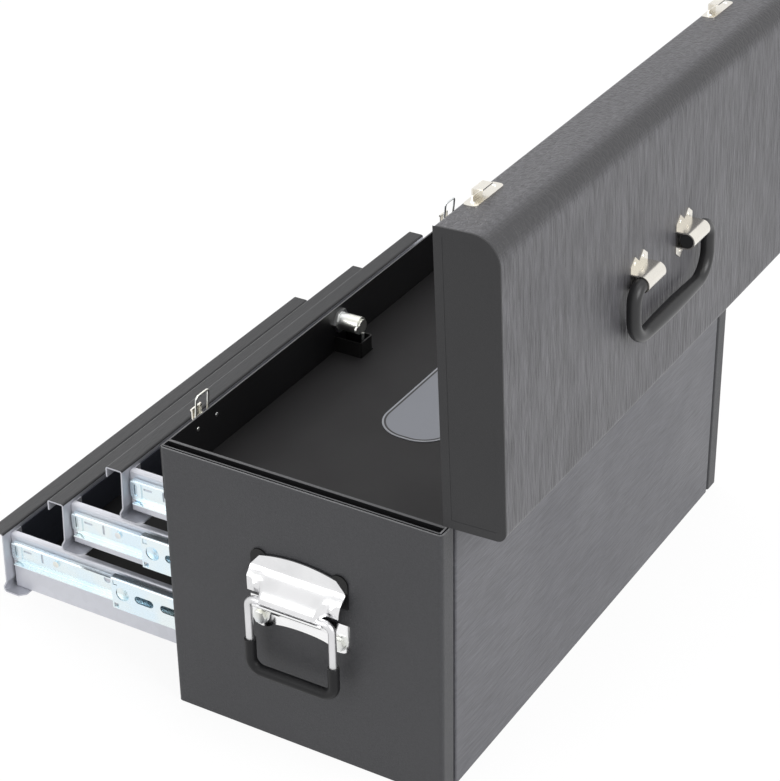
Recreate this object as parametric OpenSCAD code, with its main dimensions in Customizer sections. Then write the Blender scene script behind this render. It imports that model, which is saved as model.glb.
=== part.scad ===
// Tool chest with a hinged lid, a top tray and drawers on ball bearing slides.
// Millimetres. X runs along the length, -Y is the drawer side and Z is up.
// The origin is on the ground, under the middle of the body.

/* [Pose] */
// Angle at which the lid stands open
lid_open = 88.16; // [0:0.01:88.16]
// How far the top drawer is pulled out
top_drawer_out = 83; // [0:1:250]
// How far the middle drawer is pulled out
middle_drawer_out = 158; // [0:1:250]
// How far the deep drawer is pulled out
deep_drawer_out = 239; // [0:1:250]

/* [Body] */
// Length of the body over its ends
body_l = 600; // [580:1:680]
// Depth of the body, front to back
body_d = 288; // [286:1:310]
// Height of the body
body_h = 283; // [280:1:310]
// Thickness of the sheet steel
sheet_t = 1.5; // [1.2:0.1:1.8]
// Inside radius of a folded corner
fold_r = 1; // [0.6:0.1:1.5]
// Outside radius of the upright corners of the end panels
corner_r = 4; // [3:0.5:6]
// Width of the front posts beside the drawers
post_w = 20.8; // [20:0.2:24]
// Depth of the returned edge behind posts and rails
return_d = 12; // [9:0.5:13]
// Width of the end panels' flanges round the back corners
back_flange_w = 21; // [18:0.5:26]
// Width of the groove beside the back panel
groove_w = 3; // [2:0.5:5]
// Depth of the groove beside the back panel
groove_d = 3; // [2:0.5:4]
// Height of the front rail above the drawers
top_rail_h = 57; // [54:0.5:62]
// Height of the front rail below the drawers
base_rail_h = 26; // [20:0.5:32]

/* [Tray] */
// Height of the tray floor's underside above the bottom of the top rail
tray_lift = 6; // [5:0.5:9]
// Thickness of the tray mat
mat_t = 4; // [2:0.5:6]
// Space round the tray mat
mat_gap = 0.5; // [0.3:0.1:1]
// Length of the blank oval plate on the mat
badge_l = 240; // [120:5:300]
// Width of the blank oval plate on the mat
badge_w = 74; // [40:2:100]
// Corner radius of the blank oval plate
badge_r = 33; // [10:1:36]
// Thickness of the blank oval plate
badge_t = 0.6; // [0.4:0.1:1]
// Width of the rolled edge on top of each end
rim_w = 3; // [2.6:0.1:4]
// Width of the groove in each end's rim
rim_groove_w = 7.5; // [6:0.5:8]
// Depth of the groove in each end's rim
rim_groove_d = 8; // [5:0.5:12]

/* [Drawers] */
// Height of the two upper drawer fronts
small_front_h = 54.5; // [50:0.5:58]
// Gap between a drawer front and the next lip below it
front_gap = 6.75; // [5:0.25:9]
// Gap between the top rail and the first lip
lip_gap = 3; // [2:0.5:5]
// Gap between the lowest front and the base rail
foot_gap = 4.5; // [3:0.5:8]
// Gap beside a drawer front
front_side_gap = 1; // [0.5:0.1:2]
// Depth of the pull lip along the top of a front
lip_d = 17.5; // [14:0.5:20]
// Height of the turned down edge of the lip
lip_edge_h = 11; // [8:0.5:14]
// How far the face leans out above its toe
face_lean = 1.8; // [0.5:0.1:3]
// How far the toe stands out below the face
toe_out = 5.5; // [4:0.5:7]
// Height of the bend above the toe
toe_bend_h = 13; // [11:0.5:15]
// Height of the toe's upright part
toe_h = 6; // [5.5:0.5:8]
// Depth of the foot plate under a front
foot_d = 23.5; // [18:0.5:28]
// Cut corner at each end of the foot plate
foot_corner = 6; // [3:0.5:9]
// Thickness of the drawer boxes
box_t = 1.2; // [0.9:0.1:1.5]
// Distance from the body's back to a shut drawer box
box_back_in = 11; // [7:0.5:14]
// Distance from a lip's top down to its drawer box
box_drop = 4.5; // [3:0.5:6]
// Height of the upper drawer boxes over their foot plates
box_lift = 3.5; // [0.5:0.5:5]
// Width of the folded edge on top of a drawer side
hem_w = 6; // [4:0.5:8]
// Thickness of the foam liner in a drawer
liner_t = 14; // [6:0.5:16]

/* [Slides] */
// Length of the slides
slide_l = 250; // [245:1:254]
// Thickness of a closed slide
slide_w = 12.7; // [12.5:0.1:13]
// Height of the outer member
outer_h = 45; // [44:0.5:46]
// Height of the middle member
middle_h = 36.5; // [36:0.5:37.5]
// Height of the inner member
inner_h = 26; // [25:0.5:27]
// Sheet thickness of the slide members
rail_t = 1.2; // [1:0.1:1.3]
// Distance from a lip's top down to the middle of its slide
slide_drop = 23.5; // [23:0.5:25]
// Distance from the body's front to the inner member
slide_setback = 24.5; // [24:0.5:27]
// How far the middle member starts behind the inner member
middle_setback = 5; // [3:0.5:8]
// How far the outer member starts behind the inner member
outer_setback = 2.5; // [1:0.5:5]
// Balls in each ball cage
ball_count = 5; // [3:1:8]
// Distance between the balls
ball_pitch = 12; // [8:0.5:13]

/* [Lid] */
// Distance from each end of the body to the lid's end
lid_end_in = 6.65; // [4:0.05:10]
// Distance from the body's front to the closed lid's front
lid_front_in = 10.8; // [6.5:0.1:16]
// Height of the lid
lid_h = 59; // [50:1:70]
// Thickness of the covered lid shell
lid_t = 2; // [1.5:0.1:3]
// Outside radius of the lid's front edge
lid_front_r = 26; // [12:1:30]
// Outside radius of the lid's back edge
lid_back_r = 9; // [5:0.5:14]
// Width of the folded rim inside the lid
lid_rim_w = 8; // [6:0.5:9]
// Gap between the closed lid and the body
lid_gap = 0.3; // [0.3:0.1:1]
// Distance from the body's back to the closed lid's back
lid_back_in = 1.5; // [1.5:0.1:2]

/* [Hinge] */
// Distance from each end of the body to the hinge
hinge_in = 50; // [30:5:150]
// Number of knuckles along the hinge
knuckle_count = 20; // [6:2:28]
// Outside radius of the knuckles
knuckle_r = 2.5; // [2.4:0.05:2.5]
// Radius of the hinge pin
hinge_pin_r = 1.2; // [0.9:0.1:1.3]
// Thickness of the hinge leaves
leaf_t = 1.2; // [0.8:0.1:1.2]
// Width of the hinge leaves
leaf_w = 18; // [10:1:24]
// Distance from the back of the closed lid to the hinge axis
hinge_back = 2.8; // [2.8:0.05:3]
// Height of the hinge axis above the closed lid's rim
hinge_rise = 3.4; // [3.3:0.05:3.6]
// Gap between neighbouring knuckles
knuckle_gap = 0.3; // [0.3:0.05:0.6]
// Clearance round a turning pin or shaft
pivot_fit = 0.08; // [0.03:0.01:0.1]

/* [Lid handle] */
// Length of the lid handle over its sides
grip_l = 169; // [150:1:220]
// Distance from the handle's pivot to its grip bar
grip_drop = 51.5; // [46:0.5:66]
// Radius of the grip's ends and sides
grip_r = 6.5; // [5:0.1:7]
// Radius of the grip in the middle
grip_mid_r = 7.6; // [7.2:0.1:9]
// Height of the handle's pivot above the lid
grip_rise = 11; // [10:0.1:16]
// Radius of the bends beside the brackets
grip_top_bend = 13; // [12:0.5:16]
// Radius of the bends beside the grip bar
grip_low_bend = 25; // [20:1:30]
// Distance from the middle to the outer edge of a bracket
bracket_x = 64; // [56:1:64]
// Length of a bracket's strap
bracket_l = 34; // [20:1:36]
// How far the handle's pivot sits behind the middle of the lid
grip_back = 3.35; // [0:0.05:12]
// Thickness of the bracket metal
bracket_t = 1.2; // [1:0.1:1.6]
// Length of a bracket's pointed ears
ear_l = 13; // [9:0.5:18]
// Clearance between the handle and its straps
strap_gap = 0.3; // [0.3:0.05:0.6]

/* [Latches] */
// Distance from each end of the body to the middle of a latch
latch_in = 72; // [60:1:120]
// Width of a latch's base plate
latch_w = 44; // [40:1:50]
// Height of a latch's base plate
latch_h = 30; // [28:1:32]
// Thickness of the latch metal
latch_t = 1.2; // [1:0.1:1.3]
// Distance from the body's top down to the lever's pivot
latch_drop = 21; // [20:0.5:24]
// Distance from the body's front to the lever's pivot
latch_stand = 5.5; // [5.3:0.1:7]
// Distance from the lever's pivot to the bail's pivot
throw = 6; // [5.6:0.1:7]
// Radius of the lever's pin
latch_pin_r = 1.3; // [1:0.1:1.4]
// Radius of the wire bail
wire_r = 1.1; // [0.9:0.05:1.2]
// Width of the wire bail between its middle lines
wire_w = 18.8; // [18.4:0.2:22]
// Length of the wire bail
wire_l = 32; // [30:0.5:36]
// Bend radius of the wire bail
wire_bend = 3; // [2:0.5:4]
// How far the wire bail leans in at its top
wire_lean = 3; // [0:0.5:4]
// Width of the lever
lever_w = 15; // [12:0.5:15.4]
// Width of the lever's eyes
neck_w = 12; // [9:0.5:12]
// Height of the lever's tip above its pivot
lever_h = 21; // [18:0.5:24]
// Width of a keeper plate
keeper_w = 48; // [40:1:54]
// Height of a keeper plate
keeper_h = 13; // [10:0.5:14]
// Width of a keeper's hook
hook_w = 16; // [12:0.5:16.5]
// Height of a keeper's hook
hook_h = 10.5; // [8:0.5:12]
// How far a keeper's hook stands out
hook_out = 8.8; // [7:0.1:9]
// Height of a keeper above the lid's rim
keeper_lift = 2.5; // [2:0.1:5]

/* [Lock] */
// Distance from the body's top down to the lock
lock_drop = 16; // [15:0.5:18]
// Radius of the lock barrel
lock_r = 9; // [8:0.5:10]
// Radius of the lock's face
lock_face_r = 11; // [10.5:0.5:13]
// Length of the lock barrel behind the rail's front
lock_l = 26; // [22:0.5:30]
// Length of the lock's cam from its axis
cam_l = 13; // [11:0.5:13.5]
// Radius of the cam's hub
cam_hub_r = 7; // [6:0.5:7.5]
// Thickness of the cam
cam_t = 2; // [1.5:0.1:2.5]
// Radius of the locking rod
rod_r = 1.5; // [1.2:0.1:2]
// Width of the rod's guard
guard_w = 22; // [18:1:30]

/* [End handles] */
// Height of the handle's pivot above the ground
bail_z = 166; // [150:1:180]
// Distance of the handle's pivot from the end panel
bail_stand = 18; // [17:0.5:20]
// Radius of the bail rod
bail_r = 3.75; // [3:0.05:4]
// Width of the bail between its middle lines
bail_w = 88; // [86:1:96]
// Distance from the pivot to the middle of the grip bar
bail_drop = 77.5; // [66:0.5:90]
// Bend radius beside the pivot
bail_top_bend = 8; // [7:0.5:9]
// Bend radius beside the grip bar
bail_low_bend = 12; // [10:0.5:16]
// Radius of the rubber grip
rubber_r = 5.4; // [4.6:0.1:6.4]
// Distance from the pivot down to the rubber grip
rubber_drop = 45; // [36:1:50]
// Thickness of the handle plates
plate_t = 2; // [1.5:0.1:2.4]
// Width of the handle plates
plate_w = 104; // [100:1:112]
// Height of the stop plate's top above the pivot
stop_h = 38; // [30:0.5:44]
// Depth of the bow in the stop plate's top
stop_bow = 9; // [4:0.5:12]
// Depth of the mounting plate below the pivot
mount_h = 40; // [38:0.5:44]
// Distance between the bolts
bolt_w = 83; // [78:0.5:86]
// Height of the bolts above the mounting plate's bottom
bolt_lift = 11; // [9:0.5:13]
// Radius of the bolt heads
bolt_r = 6.5; // [5.5:0.1:7]
// Height of the bolt heads
bolt_h = 4.5; // [3:0.5:6]
// Radius of the dark backing plate's ears
pad_r = 9; // [7:0.5:11]
// Thickness of the dark backing plate
pad_t = 1.6; // [1:0.1:1.8]

/* [Hidden] */
// Overrun of cuts through a wall
over = 1;
// Steps in a small bend, steps in a large one, and segments of a full circle
bend_steps = 4;
large_steps = 16;
$fn = 48;

// Colours
steel_black = [0.20, 0.20, 0.21];
steel_grey = [0.33, 0.33, 0.34];
zinc = [0.80, 0.84, 0.86];
chrome_tone = [0.90, 0.90, 0.91];
nickel = [0.82, 0.80, 0.76];
rubber_black = [0.08, 0.08, 0.09];

// Places across the body
front_y = -body_d / 2;
back_y = body_d / 2;
end_x = body_l / 2;
end_in = end_x - sheet_t;
post_x = end_x - post_w;
wall_x = post_x - sheet_t;
box_x = wall_x - slide_w;
front_x = wall_x - front_side_gap;
flange_x = end_x - back_flange_w;
panel_x = flange_x - groove_w;
strip_x = end_x - corner_r;
strip_y = back_y - groove_d;
frame_front_y = front_y + return_d;
frame_back_y = strip_y - sheet_t;

// Heights
rail_z = body_h - top_rail_h;
tray_z = rail_z + tray_lift;
tray_top = tray_z + sheet_t;
mat_top = tray_top + mat_t;
pitch = small_front_h + front_gap;
drawer_total = 3;
lip_z = [for (i = [0 : drawer_total - 1]) rail_z - lip_gap - i * pitch];
front_h = [small_front_h, small_front_h, lip_z[2] - base_rail_h - foot_gap];
foot_z = lip_z - front_h;
box_lifts = [box_lift, box_lift, 0];
box_z = [for (i = [0 : drawer_total - 1]) foot_z[i] + sheet_t + box_lifts[i]];
box_top = [for (z = lip_z) z - box_drop];
drawer_out = [top_drawer_out, middle_drawer_out, deep_drawer_out];

// Drawer depths, with the drawer shut
face_y = front_y + lip_d;
box_y = face_y + sheet_t;
box_back = back_y - box_back_in;
inner_y = front_y + slide_setback;
middle_y = inner_y + middle_setback;
outer_y = inner_y + outer_setback;

// Rim of each end
rim_x = end_in - sheet_t - sheet_t - rim_groove_w - rim_w;

// Closed lid and its hinge
lid_z = body_h + lid_gap;
lid_top = lid_z + lid_h;
lid_back = back_y - lid_back_in;
lid_front = front_y + lid_front_in;
lid_half_l = end_x - lid_end_in;
hinge_l = body_l - hinge_in - hinge_in;
hinge_y = lid_back + hinge_back;
hinge_z = lid_z + hinge_rise;

// Latch, lock and end handle axes
latch_y = front_y - latch_stand;
latch_z = body_h - latch_drop;
lock_z = body_h - lock_drop;
latch_x = end_x - latch_in;
cam_y = front_y + lock_l;
rod_y = cam_y + strap_gap + rod_r;
bail_x = end_x + bail_stand;

// Hinge, lid handle and the saddle of the end handles
knuckle_step = hinge_l / knuckle_count;
leaf_clear = knuckle_r + knuckle_gap + knuckle_gap;
grip_x = grip_l / 2 - grip_r;
grip_y = (lid_front + lid_back) / 2 + grip_back;
grip_z = lid_top + grip_rise;
saddle_r = bail_r + strap_gap;

// Section of the lid shell, its bends and their steps
lid_path = [
    [lid_back - lid_rim_w, lid_z],
    [lid_back, lid_z],
    [lid_back, lid_top],
    [lid_front, lid_top],
    [lid_front, lid_z],
    [lid_front + lid_rim_w, lid_z]
];
lid_radii = [0, fold_r, lid_back_r - lid_t, lid_front_r - lid_t, fold_r, 0];
lid_steps = [1, bend_steps, large_steps / 2, large_steps, bend_steps, 1];
shell_x = lid_half_l - sheet_t;

// Bends tighter and wider than the plain fold
tight_r = fold_r / 2;
toe_r = 2;
face_r = 3;
stop_r = 2;

// Corners of the latch plates, and the lever's shape
latch_corner_share = 1 / 6;
keeper_corner_share = 1 / 3;
wire_eye_share = 0.8;
tip_share = 2;
knee_share = 3;

// Lock, its rod and the guard over the rod
nut_t = 3;
face_t = 2.5;
key_slot = [1.6, 9];
rod_low = 0.5;
guard_h = 20;
guard_back = 6;

// Slides: heights, lips of the channels and room between the members
slide_z = [for (z = lip_z) z - slide_drop];
race_lip = 3.2;
middle_lip = 2.6;
web_gap = 0.6;
outer_in_gap = 1.5;
middle_in_gap = 2.3;
inner_flange_w = 7;
outer_in_x = box_x + outer_in_gap;
middle_web_x = wall_x - rail_t - web_gap;
middle_in_x = box_x + middle_in_gap;
inner_tip_x = box_x + inner_flange_w;
ball_play = 0.1;
follow_share = 1 / 2;

// Details of the inner member: places are from its front end and middle line
inner_slot = [10, 2.4];
inner_slot_at = [14.5, 3];
upright_slot = [2.5, 10.5];
upright_slot_at = [32.5, 1.5];
inner_hole_at = [112, 5];
inner_hole_r = 4;
screw_at = [50.5, 2];
screw_r = 3.5;
screw_h = 1.4;
clip = [12, 21];
clip_out = 4.7;
clip_corner = 3;
clip_slot = [4, 13];

// Details of the middle member, from its front end and middle line
square_hole = 5;
square_hole_at = [4.5, 13];
round_hole_at = [12.5, 2];
round_hole_r = 7.5;
long_hole = [22, 8.5];
long_holes_at = [38, 68, 150, 215];
cage_inset = 3;
cage_share = 0.45;

// End handles: shares of the plates' own sizes, and the arc on the stop plate
foot_share = 0.6;
arch_low_share = 0.3;
arch_high_share = 0.5;
leaf_share = 0.55;
stop_in_share = 0.35;
stop_side_share = 0.94;
stop_corner_share = 0.9;
stop_drop_share = 1.3;
stop_knee_share = 0.45;
stop_flat_share = 0.8;
bead_share = 1.1;
stop_edge_share = 1.4;
stop_arc_from = 20;
stop_arc_turn = 140;
washer_t_share = 0.4;
washer_share = 1.15;

// Plain helpers
function unit(v) = v / norm(v);
function left_of(v) = [-v[1], v[0]];
function value_at(r, i) = is_list(r) ? r[i] : r;
function reversed(p) = [for (i = [len(p) - 1 : -1 : 0]) p[i]];

// Point i of path p, moved by t to the path's left
function shifted_point(p, i, t) =
    let (last = len(p) - 1,
         j = max(i, 1),
         k = min(i + 1, last),
         a = left_of(unit(p[j] - p[j - 1])),
         b = left_of(unit(p[k] - p[k - 1])))
    p[i] + t * (a + b) / (1 + a * b);
function shifted(p, t) = [for (i = [0 : len(p) - 1]) shifted_point(p, i, t)];

// Corner i of path p as an arc of radius r
function arc_at(p, i, r, steps) =
    i == 0 || i == len(p) - 1 || r <= 0 ? [p[i]] :
    let (u = unit(p[i - 1] - p[i]),
         v = unit(p[i + 1] - p[i]),
         half = acos(u * v) / 2,
         c = p[i] + unit(u + v) * r / sin(half),
         s = p[i] + u * r / tan(half) - c,
         e = p[i] + v * r / tan(half) - c,
         a = atan2(s[1], s[0]),
         turn = (atan2(e[1], e[0]) - a + 540) % 360 - 180)
    [for (k = [0 : steps]) c + r * [cos(a + turn * k / steps), sin(a + turn * k / steps)]];
function rounded(p, radii, steps) =
    [for (i = [0 : len(p) - 1]) each arc_at(p, i, radii[i], value_at(steps, i))];
function turns_left(p, i) =
    i == 0 || i == len(p) - 1 ? true : cross(p[i] - p[i - 1], p[i + 1] - p[i]) > 0;

// Section of a folded sheet: path p is one face, and the sheet lies t to its left
module fold(p, t, r = fold_r, steps = bend_steps) {
    near = [for (i = [0 : len(p) - 1]) value_at(r, i) + (turns_left(p, i) ? t : 0)];
    far = [for (i = [0 : len(p) - 1]) value_at(r, i) + (turns_left(p, i) ? 0 : t)];
    polygon(concat(rounded(p, near, steps), reversed(rounded(shifted(p, t), far, steps))));
}

// Extrusions of a section along one axis, from one place to another
module along_x(a, b) {
    translate([a, 0, 0])
        rotate([90, 0, 90])
            linear_extrude(b - a)
                children();
}

module along_y(a, b) {
    translate([0, b, 0])
        rotate([90, 0, 0])
            linear_extrude(b - a)
                children();
}

module along_z(a, b) {
    translate([0, 0, a])
        linear_extrude(b - a)
            children();
}

// Rectangle from one corner to the other, in two and in three dimensions
module area(a, b) {
    translate(a)
        square(b - a);
}

module block(a, b) {
    translate(a)
        cube(b - a);
}

// Rectangle about the origin with round corners, as an outline
function round_box(w, h, r, steps = bend_steps) =
    [for (c = [[1, 1, 0], [-1, 1, 90], [-1, -1, 180], [1, -1, 270]])
        for (k = [0 : steps])
            [c[0] * (w / 2 - r), c[1] * (h / 2 - r)]
                + r * [cos(c[2] + 90 * k / steps), sin(c[2] + 90 * k / steps)]];

module on_side(s) {
    if (s > 0)
        children();
    else
        mirror([1, 0, 0])
            children();
}

module both_sides() {
    children();
    mirror([1, 0, 0])
        children();
}

// Quarter of a bent rod in the plane z = 0, from angle a on
module quarter(bend, r, a) {
    rotate([0, 0, a])
        rotate_extrude(angle = 90)
            translate([bend, 0])
                circle(r);
}

// Turns the closed lid, and what is on it, to the open pose
module on_lid() {
    translate([0, hinge_y, hinge_z])
        rotate([-lid_open, 0, 0])
            translate([0, -hinge_y, -hinge_z])
                children();
}

// Body panels
module end_panel(s) {
    post = [
        [post_x, frame_front_y],
        [post_x, front_y],
        [end_x, front_y],
        [end_x, back_y],
        [flange_x, back_y],
        [flange_x, strip_y]
    ];
    bends = [0, fold_r, corner_r - sheet_t, corner_r - sheet_t, fold_r, 0];
    color(steel_grey)
        on_side(s)
            difference() {
                along_z(0, body_h)
                    fold(post, sheet_t, bends);
                block([post_x - over, front_y - over, rail_z],
                      [end_in, frame_front_y + over, body_h + over]);
            }
}

module end_rims() {
    groove_x = rim_x + rim_w;
    fin_x = groove_x + rim_groove_w;
    color(steel_black)
        both_sides()
            along_y(front_y + sheet_t, frame_back_y) {
                fold([[rim_x, body_h], [rim_x, tray_z], [end_in, tray_z]], sheet_t);
                fold([[fin_x, body_h],
                      [fin_x, body_h - rim_groove_d],
                      [groove_x, body_h - rim_groove_d],
                      [groove_x, body_h]], sheet_t);
                area([rim_x, body_h - rim_groove_d - sheet_t], [groove_x, body_h]);
            }
}

module back_panel() {
    path = [
        [strip_x, strip_y],
        [panel_x, strip_y],
        [panel_x, back_y],
        [-panel_x, back_y],
        [-panel_x, strip_y],
        [-strip_x, strip_y]
    ];
    color(steel_grey)
        along_z(0, body_h)
            fold(path, sheet_t, tight_r);
}

// Floor outline between the posts in front and the folded edges behind
module floor_plan(x) {
    half_front = min(x, post_x);
    half_back = panel_x - sheet_t;
    area([-x, frame_front_y], [x, frame_back_y]);
    area([-half_front, front_y + sheet_t], [half_front, frame_front_y + over]);
    area([-half_back, frame_back_y - over], [half_back, back_y - sheet_t]);
}

module base_pan() {
    color(steel_black)
        along_z(0, sheet_t)
            floor_plan(end_in);
}

module top_rail() {
    path = [
        [front_y, body_h],
        [front_y, rail_z],
        [frame_front_y, rail_z],
        [frame_front_y, tray_z]
    ];
    color(steel_black)
        difference() {
            along_x(-end_in, end_in)
                fold(path, sheet_t);
            translate([0, 0, lock_z])
                along_y(front_y - over, front_y + sheet_t + over)
                    circle(lock_r + pivot_fit);
        }
}

module base_rail() {
    path = [
        [frame_front_y, base_rail_h],
        [front_y, base_rail_h],
        [front_y, 0]
    ];
    color(steel_black)
        along_x(-post_x, post_x)
            fold(path, sheet_t);
}

module side_frame(s) {
    path = [
        [end_in, tray_z],
        [wall_x, tray_z],
        [wall_x, sheet_t],
        [end_in, sheet_t]
    ];
    color(steel_black)
        on_side(s)
            along_y(frame_front_y, frame_back_y)
                fold(path, sheet_t);
}

// Tray
module tray_floor() {
    color(steel_black)
        difference() {
            along_z(tray_z, tray_top)
                floor_plan(rim_x);
            rod_hole(tray_z - over, tray_top + over);
        }
}

module rod_hole(a, b) {
    translate([0, rod_y, 0])
        along_z(a, b)
            circle(rod_r + strap_gap);
}

module tray_mat() {
    x = rim_x - mat_gap;
    color(rubber_black)
        difference() {
            along_z(tray_top, mat_top)
                area([-x, front_y + sheet_t + mat_gap], [x, frame_back_y - mat_gap]);
            block([-guard_w / 2 - mat_gap, front_y, tray_top - over],
                  [guard_w / 2 + mat_gap, cam_y + guard_back + mat_gap, mat_top + over]);
        }
}

module tray_badge() {
    color(nickel)
        along_z(mat_top, mat_top + badge_t)
            polygon(round_box(badge_l, badge_w, badge_r, large_steps));
}

// Lid hinge: knuckles alternate between the two leaves
module knuckles(odd) {
    for (i = [odd : 2 : knuckle_count - 1]) {
        a = -hinge_l / 2 + i * knuckle_step + knuckle_gap / 2;
        along_x(a, a + knuckle_step - knuckle_gap)
            children();
    }
}

module knuckle_bore() {
    along_x(-hinge_l / 2 - over, hinge_l / 2 + over)
        translate([hinge_y, hinge_z])
            circle(hinge_pin_r + pivot_fit);
}

module hinge_leaf_body() {
    color(nickel)
        difference() {
            union() {
                block([-hinge_l / 2, back_y, hinge_z - leaf_w - leaf_clear],
                      [hinge_l / 2, back_y + leaf_t, hinge_z - leaf_clear]);
                knuckles(0)
                    union() {
                        translate([hinge_y, hinge_z])
                            circle(knuckle_r);
                        area([back_y, hinge_z - leaf_clear - over], [back_y + leaf_t, hinge_z]);
                    }
            }
            knuckle_bore();
        }
}

module hinge_leaf_lid() {
    color(nickel)
        on_lid()
            difference() {
                union() {
                    block([-hinge_l / 2, lid_back, hinge_z + leaf_clear],
                          [hinge_l / 2, lid_back + leaf_t, hinge_z + leaf_clear + leaf_w]);
                    knuckles(1)
                        union() {
                            translate([hinge_y, hinge_z])
                                circle(knuckle_r);
                            area([lid_back, hinge_z], [lid_back + leaf_t, hinge_z + leaf_clear + over]);
                        }
                }
                knuckle_bore();
            }
}

module hinge_pin() {
    color(zinc)
        along_x(-hinge_l / 2, hinge_l / 2)
            translate([hinge_y, hinge_z])
                circle(hinge_pin_r);
}

// Lid
module lid_shell() {
    color(steel_grey)
        on_lid()
            along_x(-shell_x, shell_x)
                fold(lid_path, lid_t, lid_radii, lid_steps);
}

module lid_end(s) {
    inner_path = shifted([for (i = [1 : 4]) lid_path[i]], lid_t);
    inner_radii = [0, lid_back_r - lid_t - sheet_t, lid_front_r - lid_t - sheet_t, 0];
    inner_steps = [1, lid_steps[2], lid_steps[3], 1];
    over_fold = [0, lid_t + fold_r];
    near = [0, fold_r + lid_t, lid_back_r, lid_front_r, fold_r + lid_t, 0];
    color(steel_black)
        on_lid()
            on_side(s) {
                along_x(shell_x, lid_half_l)
                    polygon(rounded(lid_path, near, lid_steps));
                along_x(lid_half_l - lid_rim_w, shell_x) {
                    fold([inner_path[0] + over_fold,
                          inner_path[1],
                          inner_path[2],
                          inner_path[3] + over_fold],
                         sheet_t, inner_radii, inner_steps);
                    area([lid_front + lid_rim_w, lid_z], [lid_back - lid_rim_w, lid_z + sheet_t]);
                }
            }
}

// Keepers: a plate on the lid's front with a hook for the latch
module keepers() {
    z = lid_z + keeper_lift;
    hook = [
        [lid_front - hook_out, z + hook_h],
        [lid_front - hook_out, z],
        [lid_front, z],
        [lid_front, z + keeper_h]
    ];
    color(nickel)
        on_lid()
            both_sides()
                translate([latch_x, 0, 0]) {
                    along_x(-hook_w / 2, hook_w / 2)
                        fold(hook, latch_t);
                    translate([0, 0, z + keeper_h / 2])
                        along_y(lid_front - latch_t, lid_front)
                            polygon(round_box(keeper_w, keeper_h, keeper_h * keeper_corner_share));
                }
}

// Lid handle, lying on the lid, with its ends turned in under the brackets
module lid_handle() {
    bar = grip_x - grip_low_bend;
    color(rubber_black)
        on_lid()
            translate([0, grip_y, grip_z]) {
                both_sides() {
                    along_x(bracket_x - bracket_l, grip_x - grip_top_bend)
                        circle(grip_r);
                    translate([grip_x - grip_top_bend, grip_top_bend, 0])
                        quarter(grip_top_bend, grip_r, -90);
                    translate([grip_x, 0, 0])
                        along_y(grip_top_bend, grip_drop - grip_low_bend)
                            circle(grip_r);
                    translate([bar, grip_drop - grip_low_bend, 0])
                        quarter(grip_low_bend, grip_r, 0);
                }
                translate([0, grip_drop, 0])
                    rotate([0, 90, 0])
                        rotate_extrude()
                            polygon(concat([[0, -bar]],
                                [for (k = [-large_steps : large_steps])
                                    [grip_r + (grip_mid_r - grip_r) * cos(90 * k / large_steps),
                                     bar * k / large_steps]],
                                [[0, bar]]));
            }
}

module lid_brackets() {
    inside_r = grip_r + strap_gap;
    outside_r = inside_r + bracket_t;
    ear_shares = [[0, 0], [0, 0.5], [0.25, 1], [0.5, 0.45], [0.75, 1], [1, 0.5], [1, 0]];
    color(nickel)
        on_lid()
            both_sides()
                translate([0, grip_y, lid_top]) {
                    along_x(bracket_x - bracket_l, bracket_x) {
                        difference() {
                            union() {
                                translate([0, grip_rise])
                                    circle(outside_r);
                                area([-outside_r, 0], [outside_r, grip_rise]);
                            }
                            translate([0, grip_rise])
                                circle(inside_r);
                            area([-inside_r, -over], [inside_r, grip_rise]);
                        }
                    }
                    along_z(0, bracket_t)
                        for (s = [-1, 1])
                            polygon([for (e = ear_shares)
                                [bracket_x - bracket_l + e[0] * bracket_l,
                                 s * (outside_r - bracket_t / 2 + e[1] * (ear_l + bracket_t / 2))]]);
                }
}

// Drawers, built shut and then pulled out
module pulled(i, share = 1) {
    translate([0, -drawer_out[i] * share, 0])
        children();
}

module drawer_front(i) {
    t = sheet_t;
    back_of_foot = face_y - toe_out + foot_d;
    path = [
        [back_of_foot, foot_z[i] + t],
        [face_y - toe_out + t, foot_z[i] + t],
        [face_y - toe_out + t, foot_z[i] + toe_h],
        [face_y - face_lean + t, foot_z[i] + toe_bend_h],
        [face_y + t, lip_z[i]],
        [front_y, lip_z[i]],
        [front_y, lip_z[i] - lip_edge_h]
    ];
    color(steel_grey)
        pulled(i)
            difference() {
                along_x(-front_x, front_x)
                    fold(path, t, [0, toe_r, toe_r, face_r, fold_r, fold_r, 0]);
                both_sides()
                    along_z(foot_z[i] - over, foot_z[i] + t + over)
                        polygon([[front_x - foot_corner, back_of_foot + over],
                                 [front_x - foot_corner, back_of_foot],
                                 [front_x, back_of_foot - foot_corner],
                                 [front_x + over, back_of_foot - foot_corner],
                                 [front_x + over, back_of_foot + over]]);
            }
}

module drawer_box(i) {
    t = box_t;
    top = box_top[i];
    path = [
        [-box_x + hem_w, top],
        [-box_x, top],
        [-box_x, box_z[i]],
        [box_x, box_z[i]],
        [box_x, top],
        [box_x - hem_w, top]
    ];
    color(zinc)
        pulled(i)
            union() {
                along_y(box_y, box_back)
                    fold(path, t);
                for (y = [box_y, box_back - t])
                    block([-box_x + t / 2, y, box_z[i] + t / 2], [box_x - t / 2, y + t, top - t / 2]);
            }
}

module drawer_liner(i) {
    gap = box_t + fold_r;
    color(rubber_black)
        pulled(i)
            block([-box_x + gap, box_y + gap, box_z[i] + box_t],
                  [box_x - gap, box_back - gap, box_z[i] + box_t + liner_t]);
}

// Slides: each member is a rolled channel, drawn for the right side

// Row of balls in a cage strip that lies against the middle member's flange
module ball_cage(x, y, z, play_z, strip_z, r) {
    strip_l = ball_count * ball_pitch;
    block([x - r, y, min(z, strip_z)], [x + r, y + strip_l, max(z, strip_z)]);
    for (k = [0 : ball_count - 1])
        translate([x, y + (k + 1 / 2) * ball_pitch, play_z])
            sphere(r, $fn = 24);
}

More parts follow.
